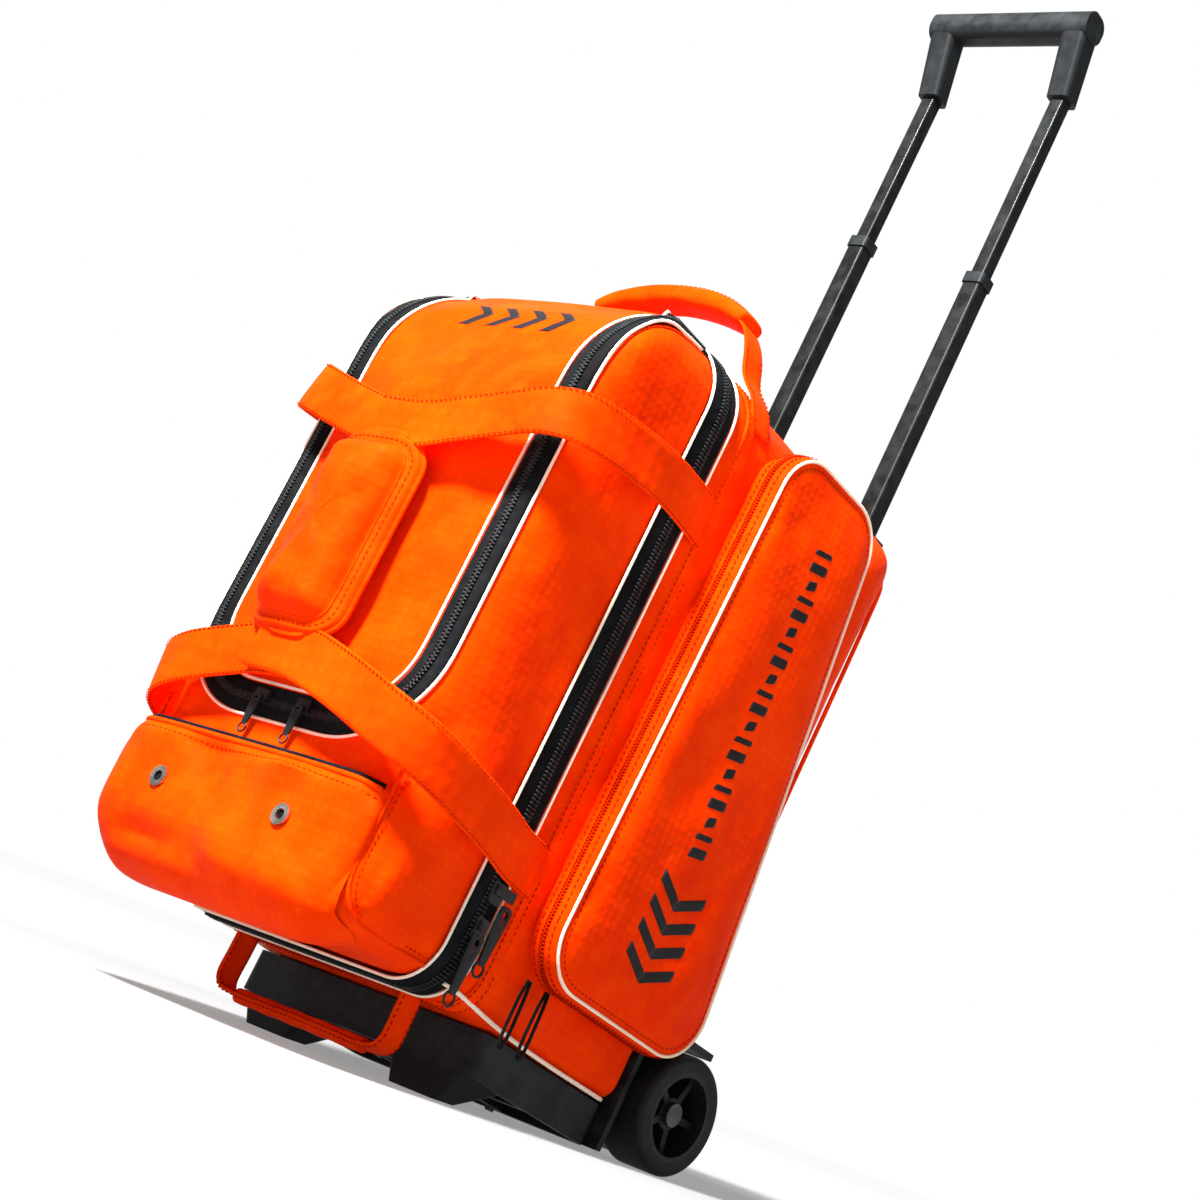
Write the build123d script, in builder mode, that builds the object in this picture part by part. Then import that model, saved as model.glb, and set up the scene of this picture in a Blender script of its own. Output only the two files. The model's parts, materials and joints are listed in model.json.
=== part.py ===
from build123d import *
import os
from math import cos, radians, sin

# ---------------------------------------------------------------- driving sizes (mm)
# Everything is laid out on the bag's own axes: x to the bag's right, y from its front
# (shoe case) to its back (trolley tubes), z up along the tubes. LEAN tips that frame
# back so that the two front feet and the two wheels all stand on the floor.
LEAN = 8.0
FOOT_FRONT_Y = -37.0
ORIGIN_X = -5.0
ORIGIN_Y = -32.0

HALF_WIDTH = 123.0
BODY_BOTTOM = 50.0
BODY_TOP = 514.0
SEAM_Y = -105.0
SEAM_GAP = 0.5
TOP_CORNER_R = 52.0
BOTTOM_CORNER_R = 32.0
TUB_BACK_Y = 168.0
TUB_PLAN_R = 60.0
TUB_TOP_BACK_R = 60.0
CASE_FRONT_Y = -213.0
CASE_TOP_FRONT_R = 96.0
CASE_PLAN_R = 30.0
CASE_BOTTOM_R = 26.0
WALL = 4.0

LID_HALF_WIDTH = 100.0
LID_BOTTOM = 170.0
LID_CORNER_R = 58.0
LID_BACK_Y = -122.0
ZIP_HALF = 9.0
ZIP_THICKNESS = 1.2

WHEEL_R = 41.5
WHEEL_WIDTH = 36.0
WHEEL_OUTER_X = 133.0
TYRE_THICKNESS = 11.0
AXLE_Y = 150.0
AXLE_R = 4.0
RUNNING = 0.05

TUBE_X = 62.0
TUBE_Y = 153.0
OUTER_TUBE = 19.0
MIDDLE_TUBE = 15.7
UPPER_TUBE = 12.5
OUTER_WALL = 1.4
MIDDLE_WALL = 1.35
OUTER_TUBE_TOP = 506.0
MIDDLE_TOP = {"left": 768.0, "right": 741.0}
MIDDLE_LENGTH = 330.0
GRIP_SOCKET_BOTTOM = 918.0
UPPER_LENGTH = 250.0

STRAP_WIDTH = 38.0
STRAP_T = 2.4
WEB_T = 3.0

os.makedirs("parts", exist_ok=True)

# ---------------------------------------------------------------- the leaning frame
UP = Vector(0, sin(radians(LEAN)), cos(radians(LEAN)))
BACK = Vector(0, cos(radians(LEAN)), -sin(radians(LEAN)))
RIGHT = Vector(1, 0, 0)
FLOOR_DROP = FOOT_FRONT_Y * sin(radians(LEAN))
BAG = Plane(origin=(ORIGIN_X, ORIGIN_Y, FLOOR_DROP), x_dir=RIGHT, z_dir=UP)
AXLE_Z = (WHEEL_R - FLOOR_DROP + AXLE_Y * sin(radians(LEAN))) / cos(radians(LEAN))


def level(z, x=0.0, y=0.0):
    """Plane across the bag at height z: sketch x is the bag's x, sketch y its y."""
    return Plane(origin=BAG.from_local_coords(Vector(x, y, z)), x_dir=RIGHT, z_dir=UP)


def facing_front(y, x=0.0, z=0.0):
    """Plane parallel to the front: sketch x is the bag's x, sketch y its z; the normal faces forward."""
    return Plane(origin=BAG.from_local_coords(Vector(x, y, z)), x_dir=RIGHT, z_dir=-BACK)


def facing_right(x, y=0.0, z=0.0):
    """Plane parallel to the side: sketch x is the bag's y, sketch y its z; the normal faces right."""
    return Plane(origin=BAG.from_local_coords(Vector(x, y, z)), x_dir=BACK, z_dir=RIGHT)


def span(x0, x1, y0, y1):
    """Rectangle between two corners in the current sketch."""
    with Locations(((x0 + x1) / 2, (y0 + y1) / 2)):
        Rectangle(abs(x1 - x0), abs(y1 - y0))


def block(x0, x1, y0, y1, z0, z1, mode=Mode.ADD):
    """Box between two corners, added to or cut from the current part."""
    centre = BAG.from_local_coords(Vector((x0 + x1) / 2, (y0 + y1) / 2, (z0 + z1) / 2))
    with Locations(Plane(origin=centre, x_dir=RIGHT, z_dir=UP)):
        Box(x1 - x0, y1 - y0, z1 - z0, mode=mode)


def write(piece, label):
    """Label a finished sub-part and write its STEP."""
    piece.part.label = label
    export_step(piece.part, f"parts/{label}.step")


# ---------------------------------------------------------------- body volumes
def seam_outline(inset):
    """The outline that both halves of the body share, seen from the front."""
    span(-HALF_WIDTH + inset, HALF_WIDTH - inset, BODY_BOTTOM + inset, BODY_TOP - inset)
    fillet(vertices().group_by(Axis.Y)[-1], radius=TOP_CORNER_R - inset)
    fillet(vertices().group_by(Axis.Y)[0], radius=BOTTOM_CORNER_R - inset)


def tub_volume(inset):
    """Ball compartment, from the seam back, with big radii where it meets the back."""
    front, back = SEAM_Y + SEAM_GAP, TUB_BACK_Y - inset
    with BuildPart() as volume:
        with BuildSketch(facing_front(front)):
            seam_outline(inset)
        extrude(amount=front - back)
        with BuildSketch(level(0)):
            span(-HALF_WIDTH + inset, HALF_WIDTH - inset, front, back)
            fillet(vertices().group_by(Axis.Y)[-1], radius=TUB_PLAN_R - inset)
        extrude(amount=BODY_TOP + 10, mode=Mode.INTERSECT)
        with BuildSketch(facing_right(-HALF_WIDTH - 5)):
            span(front, back, BODY_BOTTOM + inset, BODY_TOP - inset)
            fillet(vertices().group_by(Axis.Y)[-1].sort_by(Axis.X)[-1], radius=TUB_TOP_BACK_R - inset)
        extrude(amount=2 * HALF_WIDTH + 10, mode=Mode.INTERSECT)
    return volume.part


def case_volume(inset):
    """Shoe case, from the seam forward, rounded over its top front edge."""
    back, front = SEAM_Y - SEAM_GAP, CASE_FRONT_Y + inset
    with BuildPart() as volume:
        with BuildSketch(facing_front(back)):
            seam_outline(inset)
        extrude(amount=back - front)
        with BuildSketch(level(0)):
            span(-HALF_WIDTH + inset, HALF_WIDTH - inset, front, back)
            fillet(vertices().group_by(Axis.Y)[0], radius=CASE_PLAN_R - inset)
        extrude(amount=BODY_TOP + 10, mode=Mode.INTERSECT)
        with BuildSketch(facing_right(-HALF_WIDTH - 5)):
            span(front, back, BODY_BOTTOM + inset, BODY_TOP - inset)
            fillet(vertices().group_by(Axis.Y)[-1].sort_by(Axis.X)[0], radius=CASE_TOP_FRONT_R - inset)
            fillet(vertices().group_by(Axis.Y)[0].sort_by(Axis.X)[0], radius=CASE_BOTTOM_R - inset)
        extrude(amount=2 * HALF_WIDTH + 10, mode=Mode.INTERSECT)
    return volume.part


def lid_prism(grow):
    """Everything in front of the shoe lid's U-shaped edge, grown or shrunk all round."""
    half, low = LID_HALF_WIDTH + grow, LID_BOTTOM - grow
    with BuildPart() as prism:
        with BuildSketch(facing_front(LID_BACK_Y)):
            span(-half, half, low, BODY_TOP + 20)
            fillet(vertices().group_by(Axis.Y)[0], radius=LID_CORNER_R + grow)
        extrude(amount=150)
    return prism.part


TUB, TUB_LINING = tub_volume(0), tub_volume(WALL)
CASE, CASE_LINING = case_volume(0), case_volume(WALL)
SIDES = {"left": -1, "right": 1}

# ---------------------------------------------------------------- base and trolley frame
TRAY_BOTTOM, TRAY_TOP = 21.0, 49.6
TRAY_HALF, TRAY_BACK = 113.0, 96.0
TRAY_WALL = 4.0
HOUSING_FRONT, HOUSING_BACK = 97.0, 172.0
HOUSING_INNER_X, HOUSING_OUTER_X = 62.0, 121.0
HOUSING_BOTTOM, HOUSING_TOP = 19.0, 119.0
HOUSING_WALL = 5.0
BEARING_OUTER_X = 93.0
GROUND_CLEARANCE = 3.0

with BuildPart() as base_tray:
    block(-TRAY_HALF, TRAY_HALF, FOOT_FRONT_Y, TRAY_BACK, TRAY_BOTTOM, TRAY_TOP)
    edge_run = base_tray.edges().filter_by(Axis((0, 0, 0), tuple(UP)))
    fillet(edge_run, radius=8)
    bay = (2 * TRAY_HALF - 4 * TRAY_WALL) / 3
    for column in (-1, 0, 1):
        middle = column * (bay + TRAY_WALL)
        for y0, y1 in ((FOOT_FRONT_Y + TRAY_WALL, 27.5), (31.5, TRAY_BACK - TRAY_WALL)):
            block(middle - bay / 2 + 2, middle + bay / 2 - 2, y0 + 2, y1 - 2, TRAY_BOTTOM - 1,
                  TRAY_TOP - TRAY_WALL, Mode.SUBTRACT)
write(base_tray, "base_tray")

FOOT_TOP, FOOT_BOTTOM = TRAY_BOTTOM - 0.05, -1.0
for side, s in SIDES.items():
    with BuildPart() as foot:
        with BuildSketch(level(FOOT_TOP)):
            span(s * 40, s * 106, FOOT_FRONT_Y, 6)
            fillet(vertices(), radius=5)
        with BuildSketch(level(FOOT_BOTTOM)):
            span(s * 51.5, s * 91, FOOT_FRONT_Y, -20)
            fillet(vertices(), radius=3)
        loft()
        split(bisect_by=Plane.XY, keep=Keep.TOP)
    write(foot, f"front_foot_{side}")

    with BuildPart() as housing:
        x_in, x_out = s * HOUSING_INNER_X, s * HOUSING_OUTER_X
        block(min(x_in, x_out), max(x_in, x_out), HOUSING_FRONT, HOUSING_FRONT + HOUSING_WALL,
              HOUSING_BOTTOM, HOUSING_TOP)
        block(min(x_in, x_out), max(x_in, x_out), HOUSING_FRONT, HOUSING_BACK,
              HOUSING_TOP - HOUSING_WALL, HOUSING_TOP)
        bearing = sorted((s * HOUSING_INNER_X, s * BEARING_OUTER_X))
        block(*bearing, HOUSING_FRONT, HOUSING_BACK, HOUSING_BOTTOM + 14, HOUSING_TOP)
        block(*bearing, HOUSING_FRONT, HOUSING_FRONT + 40, HOUSING_BOTTOM, HOUSING_BOTTOM + 20)
        with BuildSketch(facing_right(0)):
            with Locations((AXLE_Y, AXLE_Z)):
                Circle(AXLE_R + RUNNING)
        extrude(amount=s * 140, mode=Mode.SUBTRACT)
        block(*sorted((s * 66, s * 89)), 107, 138, 60, HOUSING_TOP - 6, Mode.SUBTRACT)
        split(bisect_by=Plane.XY.offset(GROUND_CLEARANCE), keep=Keep.TOP)
    write(housing, f"wheel_housing_{side}")

AXLE_END = 128.0
with BuildPart() as axle:
    with BuildSketch(facing_right(-AXLE_END)):
        with Locations((AXLE_Y, AXLE_Z)):
            Circle(AXLE_R)
    extrude(amount=2 * AXLE_END)
write(axle, "axle")

# ---------------------------------------------------------------- wheels
WHEEL_INNER_X = WHEEL_OUTER_X - WHEEL_WIDTH
RIM_R = WHEEL_R - TYRE_THICKNESS
RIM_WALL = 3.0
BOSS_R = 11.0
SPOKES = 5
for side, s in SIDES.items():
    face = facing_right(s * WHEEL_INNER_X, AXLE_Y, AXLE_Z)
    with BuildPart() as tyre:
        with BuildSketch(face):
            Circle(WHEEL_R)
            Circle(RIM_R, mode=Mode.SUBTRACT)
        extrude(amount=s * WHEEL_WIDTH)
        rims = tyre.edges().filter_by(GeomType.CIRCLE).sort_by(SortBy.RADIUS)[-2:]
        fillet(rims, radius=4)
    write(tyre, f"tyre_{side}")

    with BuildPart() as hub:
        with BuildSketch(face):
            Circle(RIM_R - 0.02)
            Circle(RIM_R - RIM_WALL, mode=Mode.SUBTRACT)
        extrude(amount=s * WHEEL_WIDTH)
        with BuildSketch(face):
            Circle(BOSS_R)
        extrude(amount=s * (WHEEL_WIDTH - 9))
        web = facing_right(s * (WHEEL_INNER_X + 10), AXLE_Y, AXLE_Z)
        with BuildSketch(web):
            Circle(RIM_R - 1)
        extrude(amount=s * 4)
        with BuildSketch(web):
            with PolarLocations((RIM_R + BOSS_R) / 2 - 1, SPOKES):
                Rectangle(RIM_R - BOSS_R, 5)
        extrude(amount=s * 17)
        with BuildSketch(facing_right(s * (WHEEL_INNER_X - 1), AXLE_Y, AXLE_Z)):
            Circle(AXLE_R + RUNNING)
        extrude(amount=s * 60, mode=Mode.SUBTRACT)
    write(hub, f"hub_{side}")

    with BuildPart() as cap:
        with BuildSketch(facing_right(s * (AXLE_END - 3.5), AXLE_Y, AXLE_Z)):
            Circle(8)
            Circle(AXLE_R, mode=Mode.SUBTRACT)
        extrude(amount=s * 3.5)
    write(cap, f"axle_cap_{side}")

# ---------------------------------------------------------------- trolley tubes and grip
TUBE_FOOT = HOUSING_TOP + 2.0
BORE_CORNER = 1.2


def square_tube(x, size, bore, low, high, corner):
    """Upright square tube with rounded corners, between two heights."""
    with BuildPart() as tube:
        with BuildSketch(level(low)):
            with Locations((x, TUBE_Y)):
                RectangleRounded(size, size, corner)
                RectangleRounded(bore, bore, BORE_CORNER, mode=Mode.SUBTRACT)
        extrude(amount=high - low)
    return tube


BUSH_HEIGHT = 9.0
for side, s in SIDES.items():
    outer = square_tube(s * TUBE_X, OUTER_TUBE, OUTER_TUBE - 2 * OUTER_WALL, TUBE_FOOT, OUTER_TUBE_TOP, 2.5)
    write(outer, f"outer_tube_{side}")
    top = MIDDLE_TOP[side]
    middle = square_tube(s * TUBE_X, MIDDLE_TUBE, MIDDLE_TUBE - 2 * MIDDLE_WALL, top - MIDDLE_LENGTH, top,
                         2.2)
    write(middle, f"middle_tube_{side}")
    upper_low = GRIP_SOCKET_BOTTOM - UPPER_LENGTH
    upper = square_tube(s * TUBE_X, UPPER_TUBE, UPPER_TUBE - 2.4, upper_low, GRIP_SOCKET_BOTTOM + 20, 1.8)
    write(upper, f"upper_tube_{side}")
    collar = square_tube(s * TUBE_X, MIDDLE_TUBE + 2.6, UPPER_TUBE + 0.3, top + 0.05, top + BUSH_HEIGHT, 3)
    write(collar, f"middle_collar_{side}")
    bezel = square_tube(s * TUBE_X, OUTER_TUBE + 9, MIDDLE_TUBE + 0.3, OUTER_TUBE_TOP + 0.05,
                        OUTER_TUBE_TOP + 12, 4)
    write(bezel, f"tube_bezel_{side}")

GRIP_Y = 137.0
GRIP_HALF = 75.0
GRIP_LOW, GRIP_HIGH = 966.0, 990.0
SOCKET = 20.0
with BuildPart() as grip:
    with BuildSketch(facing_right(-GRIP_HALF, GRIP_Y, (GRIP_LOW + GRIP_HIGH) / 2)):
        RectangleRounded(26, GRIP_HIGH - GRIP_LOW, 10)
    extrude(amount=2 * GRIP_HALF)
    for s in SIDES.values():
        with BuildSketch(level(GRIP_SOCKET_BOTTOM, s * TUBE_X, TUBE_Y)):
            RectangleRounded(SOCKET, SOCKET, 4)
        with BuildSketch(level(GRIP_HIGH - 14, s * (TUBE_X + 1), GRIP_Y)):
            RectangleRounded(SOCKET + 4, 24, 6)
        loft()
        with BuildSketch(level(GRIP_SOCKET_BOTTOM - 1, s * TUBE_X, TUBE_Y)):
            RectangleRounded(UPPER_TUBE, UPPER_TUBE, 1.8)
        extrude(amount=21.05, mode=Mode.SUBTRACT)
write(grip, "grip")

# ---------------------------------------------------------------- ball compartment
BAY_FRONT, BAY_TOP, BAY_INNER = HOUSING_FRONT - 0.4, HOUSING_TOP + 0.4, HOUSING_INNER_X - 0.4
BOARD_FRONT, BOARD_BACK = 134.0, 138.0
with BuildPart() as tub_shell:
    add(TUB)
    add(TUB_LINING, mode=Mode.SUBTRACT)
    for s in SIDES.values():
        bay_x = sorted((s * BAY_INNER, s * (HALF_WIDTH + 5)))
        block(*bay_x, BAY_FRONT, TUB_BACK_Y + 5, BODY_BOTTOM - 5, BAY_TOP, Mode.SUBTRACT)
        with BuildSketch(level(BODY_BOTTOM + 100, s * TUBE_X, TUBE_Y)):
            Rectangle(OUTER_TUBE + 0.6, OUTER_TUBE + 0.6)
        extrude(amount=BODY_TOP, mode=Mode.SUBTRACT)
        with BuildSketch(level(OUTER_TUBE_TOP - 0.3, s * TUBE_X, TUBE_Y)):
            Rectangle(OUTER_TUBE + 10, OUTER_TUBE + 10)
        extrude(amount=30, mode=Mode.SUBTRACT)
write(tub_shell, "tub_shell")

with BuildPart() as frame_board:
    with BuildSketch(facing_front(BOARD_BACK)):
        span(-100, 100, 121, 500)
        fillet(vertices().group_by(Axis.Y)[-1], radius=40)
    extrude(amount=BOARD_BACK - BOARD_FRONT)
write(frame_board, "frame_board")

CRADLE_Y = 14.0
CRADLES = (("lower_ball_cradle", 54.5, 74.0, 60), ("upper_ball_cradle", 268.0, 286.0, 50))
for label, low, high, hole_r in CRADLES:
    with BuildPart() as cradle:
        block(-96, 96, -88, 94, low, high)
        with BuildSketch(level(low - 1, 0, CRADLE_Y)):
            Circle(hole_r)
        extrude(amount=high - low + 2, mode=Mode.SUBTRACT)
    write(cradle, label)

# ---------------------------------------------------------------- shoe case and its lid
LID_GAP = 0.6
with BuildPart() as case_shell:
    add(CASE)
    add(CASE_LINING, mode=Mode.SUBTRACT)
    add(lid_prism(LID_GAP), mode=Mode.SUBTRACT)
write(case_shell, "case_shell")

with BuildPart() as shoe_lid:
    add(CASE)
    add(CASE_LINING, mode=Mode.SUBTRACT)
    add(lid_prism(0), mode=Mode.INTERSECT)
write(shoe_lid, "shoe_lid")

with BuildPart() as case_divider:
    with BuildSketch(facing_front(SEAM_Y - SEAM_GAP)):
        seam_outline(WALL + 0.3)
    extrude(amount=2.5)
write(case_divider, "case_divider")

with BuildPart() as lid_zip:
    add(case_volume(-ZIP_THICKNESS))
    add(case_volume(-0.05), mode=Mode.SUBTRACT)
    add(lid_prism(ZIP_HALF), mode=Mode.INTERSECT)
    add(lid_prism(-ZIP_HALF), mode=Mode.SUBTRACT)
write(lid_zip, "lid_zip")

POCKET_TOP = 130.0
POCKET_BULGE = 13.0
with BuildPart() as toe_pocket:
    with BuildSketch(facing_front(CASE_FRONT_Y - 0.1)):
        span(-118, 118, 66, POCKET_TOP)
        fillet(vertices().group_by(Axis.Y)[0], radius=24)
        fillet(vertices().group_by(Axis.Y)[-1], radius=8)
    extrude(amount=POCKET_BULGE, taper=18)
write(toe_pocket, "toe_pocket")

EYELET_Z, EYELET_X = 101.0, 59.0
with BuildPart() as eyelets:
    for s in SIDES.values():
        with BuildSketch(facing_front(CASE_FRONT_Y - POCKET_BULGE - 0.15, s * EYELET_X, EYELET_Z)):
            Circle(7)
            Circle(3.5, mode=Mode.SUBTRACT)
        extrude(amount=1.5)
write(eyelets, "eyelets")

# ---------------------------------------------------------------- main zip
TAPE_NEAR, TAPE_FAR = 1.0, 13.0
TAPE_LEFT = -96.0


def seam_tape(toward_front):
    """Zip tape beside the seam, over the top, down the right and along the bottom."""
    step = 1 if toward_front else -1
    with BuildPart() as tape:
        with BuildSketch(facing_front(SEAM_Y - step * TAPE_NEAR)):
            seam_outline(-ZIP_THICKNESS)
        extrude(amount=step * (TAPE_FAR - TAPE_NEAR))
        with BuildSketch(facing_front(SEAM_Y - step * (TAPE_NEAR - 1))):
            seam_outline(-0.05)
        extrude(amount=step * (TAPE_FAR + 2), mode=Mode.SUBTRACT)
        block(-HALF_WIDTH - 5, TAPE_LEFT, SEAM_Y - 30, SEAM_Y + 30, 0, BODY_TOP + 20, Mode.SUBTRACT)
    return tape


write(seam_tape(True), "main_zip_case_tape")
write(seam_tape(False), "main_zip_tub_tape")

SLIDER_X = HALF_WIDTH + ZIP_THICKNESS + 0.1
PULL_X = SLIDER_X + 4.4
for name, z, length, aside in (("upper", 122.0, 42.0, 12.0), ("lower", 98.0, 40.0, 0.0)):
    with BuildPart() as slider:
        block(SLIDER_X, SLIDER_X + 3, SEAM_Y - 1, SEAM_Y + 9, z - 7, z + 7)
        block(SLIDER_X + 3, SLIDER_X + 5.4, SEAM_Y + 2, SEAM_Y + 6 + aside, z - 1, z + 6)
    write(slider, f"main_slider_{name}")
    with BuildPart() as pull:
        block(PULL_X - 1.2, PULL_X + 1.2, SEAM_Y - 1 + aside, SEAM_Y + 9 + aside, z - 3 - length, z - 3)
        fillet(pull.edges().filter_by(Axis.X), radius=2)
        block(PULL_X - 3, PULL_X + 3, SEAM_Y + 1 + aside, SEAM_Y + 7 + aside, z - 13, z - 8, Mode.SUBTRACT)
    write(pull, f"main_pull_{name}")

LID_PULL_Z = 172.0
LID_SLIDER_Y = CASE_FRONT_Y - ZIP_THICKNESS - 0.1
for side, s in SIDES.items():
    with BuildPart() as lid_slider:
        block(s * 20 - 6, s * 20 + 6, LID_SLIDER_Y - 3, LID_SLIDER_Y, LID_PULL_Z - 4, LID_PULL_Z + 4)
    write(lid_slider, f"lid_slider_{side}")
    with BuildPart() as lid_pull:
        block(s * 20 - 3.5, s * 20 + 3.5, LID_SLIDER_Y - 5.4, LID_SLIDER_Y - 3.4, LID_PULL_Z - 26, LID_PULL_Z)
    write(lid_pull, f"lid_pull_{side}")

# ---------------------------------------------------------------- side pocket
POCKET_IN, POCKET_OUT = HALF_WIDTH + 0.4, 149.0
COVER_T = 3.0
POCKET_SHAPE = ((-55, 92), (118, 92), (64, 484), (-47, 484))


def pocket_outline(inset):
    """The side pocket seen from the right: straight front edge, back edge leaning forward."""
    with BuildLine() as edge:
        Polyline(*POCKET_SHAPE, close=True)
    make_face(edge.edges())
    fillet(vertices(), radius=34)
    if inset:
        offset(amount=-inset, mode=Mode.REPLACE)


with BuildPart() as pocket_gusset:
    with BuildSketch(facing_right(POCKET_IN)):
        pocket_outline(0)
    extrude(amount=POCKET_OUT - COVER_T - POCKET_IN - 0.4)
    with BuildSketch(facing_right(POCKET_IN + 2)):
        pocket_outline(3)
    extrude(amount=40, mode=Mode.SUBTRACT)
write(pocket_gusset, "side_pocket_gusset")

with BuildPart() as pocket_cover:
    with BuildSketch(facing_right(POCKET_OUT - COVER_T)):
        pocket_outline(0)
    extrude(amount=COVER_T)
write(pocket_cover, "side_pocket_cover")

for name, y in (("front", -46.0), ("rear", -26.0)):
    with BuildPart() as loop:
        with BuildSketch(facing_right(POCKET_IN + 8)):
            span(y - 4, y + 4, 40, 88)
            fillet(vertices(), radius=3.5)
            span(y - 2, y + 2, 44, 84)
        extrude(amount=2)
    write(loop, f"side_zip_pull_{name}")

# ---------------------------------------------------------------- carrying straps
ROOT_X, ROOT_Y = 128.5, -80.0
FAR_FRONT, NEAR_FRONT = 230.0, 236.0
HEIGHTS = {"upper": (402.0, 390.0, 362.0), "lower": (148.0, 166.0, 200.0)}
CORNER_Y = -205.0
HANDLE_HALF = 19.0


def strap_band(s, front):
    """The strap's full-height band: from the roots on the side, round the corner, to the middle."""
    path = [(s * ROOT_X, ROOT_Y + 4), (s * 138, -150), (s * 136.5, CORNER_Y),
            (s * (122 + front - FAR_FRONT), -front + 3), (s * 60, -front), (-s * HANDLE_HALF, -front)]
    with BuildPart() as band:
        with BuildSketch(level(100)):
            with BuildLine():
                FilletPolyline(*path, radius=(30, 12, 12, 30))
            trace(line_width=STRAP_T)
        extrude(amount=350)
    return band.part


def side_window(s, root, corner):
    """Where one strap lies on the side: straight from its root to the front corner."""
    half, back, ahead = STRAP_WIDTH / 2, ROOT_Y + 20, -300
    rim = [(back, root + half), (CORNER_Y, corner + half), (ahead, corner + half),
           (ahead, corner - half), (CORNER_Y, corner - half), (back, root - half)]
    with BuildPart() as window:
        with BuildSketch(facing_right(s * 118)):
            Polygon(*rim, align=None)
        extrude(amount=s * 60)
    return window.part


def front_window(s, corner, middle):
    """Where one strap lies across the front: from the corner towards the middle."""
    half, bend, end = STRAP_WIDTH / 2, s * 120, s * HANDLE_HALF
    rim = [(s * 200, corner + half), (bend, corner + half), (end, middle + half), (-s * 30, middle + half),
           (-s * 30, middle - half), (end, middle - half), (bend, corner - half), (s * 200, corner - half)]
    with BuildPart() as window:
        with BuildSketch(facing_front(CORNER_Y)):
            Polygon(*rim, align=None)
        extrude(amount=80)
    return window.part


for side, s, front in (("right", 1, NEAR_FRONT), ("left", -1, FAR_FRONT)):
    band = strap_band(s, front)
    arms = []
    for root, corner, middle in HEIGHTS.values():
        arms += [band & side_window(s, root, corner), band & front_window(s, corner, middle)]
    with BuildPart() as tote_strap:
        add(arms)
        block(-HANDLE_HALF, HANDLE_HALF, -front - STRAP_T / 2, -front + STRAP_T / 2,
              HEIGHTS["lower"][-1], HEIGHTS["upper"][-1])
    write(tote_strap, f"tote_strap_{side}")

WRAP_LOW, WRAP_HIGH, WRAP_HALF = 210.0, 350.0, 44.0
with BuildPart() as handle_wrap:
    block(-WRAP_HALF, WRAP_HALF, -258, -NEAR_FRONT - STRAP_T / 2 - 0.1, WRAP_LOW, WRAP_HIGH)
    fillet(handle_wrap.edges().filter_by(Axis((0, 0, 0), tuple(BACK))), radius=18)
    fillet(handle_wrap.faces().sort_by(Axis((0, 0, 0), tuple(BACK)))[0].edges(), radius=8)
write(handle_wrap, "handle_wrap")

# ---------------------------------------------------------------- grab handles
TOP_Y = -60.0
TOP_PIVOT_Z = 528.0
with BuildPart() as top_pad:
    with BuildSketch(facing_front(TOP_Y + 15)):
        with BuildLine():
            ThreePointArc((-64, 566), (0, 582), (64, 566))
        trace(line_width=17)
    extrude(amount=30)
    fillet(top_pad.edges(), radius=5)
write(top_pad, "top_handle_pad")

with BuildPart() as top_web:
    for s in SIDES.values():
        with BuildSketch(facing_front(TOP_Y + 12)):
            with BuildLine():
                Line((s * 67, 563.5), (s * 92, TOP_PIVOT_Z - 1))
            trace(line_width=WEB_T)
        extrude(amount=24)
write(top_web, "top_handle_webbing")

with BuildPart() as top_anchor:
    for s in SIDES.values():
        block(s * 92 - 16, s * 92 + 16, TOP_Y - 12, TOP_Y + 12, BODY_TOP + 0.1, BODY_TOP + 2.2)
write(top_anchor, "top_handle_anchors")

LOW_Y, LOW_PIVOT_Z, LOW_HALF = -80.0, 34.0, 80.0
LOW_ANCHOR_Z = LOW_PIVOT_Z + 11.5
with BuildPart() as low_handle:
    with BuildSketch(facing_front(LOW_Y + 10)):
        with BuildLine():
            FilletPolyline((-LOW_HALF, LOW_PIVOT_Z), (-LOW_HALF, 10), (LOW_HALF, 10), (LOW_HALF, LOW_PIVOT_Z),
                           radius=8)
        trace(line_width=WEB_T)
    extrude(amount=20)
write(low_handle, "bottom_handle")

with BuildPart() as low_anchor:
    for s in SIDES.values():
        block(s * LOW_HALF - 2, s * LOW_HALF + 2, LOW_Y - 10, LOW_Y + 10, LOW_ANCHOR_Z, BODY_BOTTOM - 0.2)
write(low_anchor, "bottom_handle_anchors")

# ---------------------------------------------------------------- screws
with BuildPart() as tray_screws:
    for x in (-30.0, 30.0):
        for y in (-27.0, 29.5, 88.0):
            with BuildSketch(level(TRAY_BOTTOM - 2.2, x, y)):
                Circle(3.2)
            extrude(amount=2.15)
write(tray_screws, "tray_screws")
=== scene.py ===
import json
import math
from contextlib import contextmanager
import bmesh
import bpy
import numpy as np
from mathutils import Matrix, Vector
from mathutils.bvhtree import BVHTree


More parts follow.
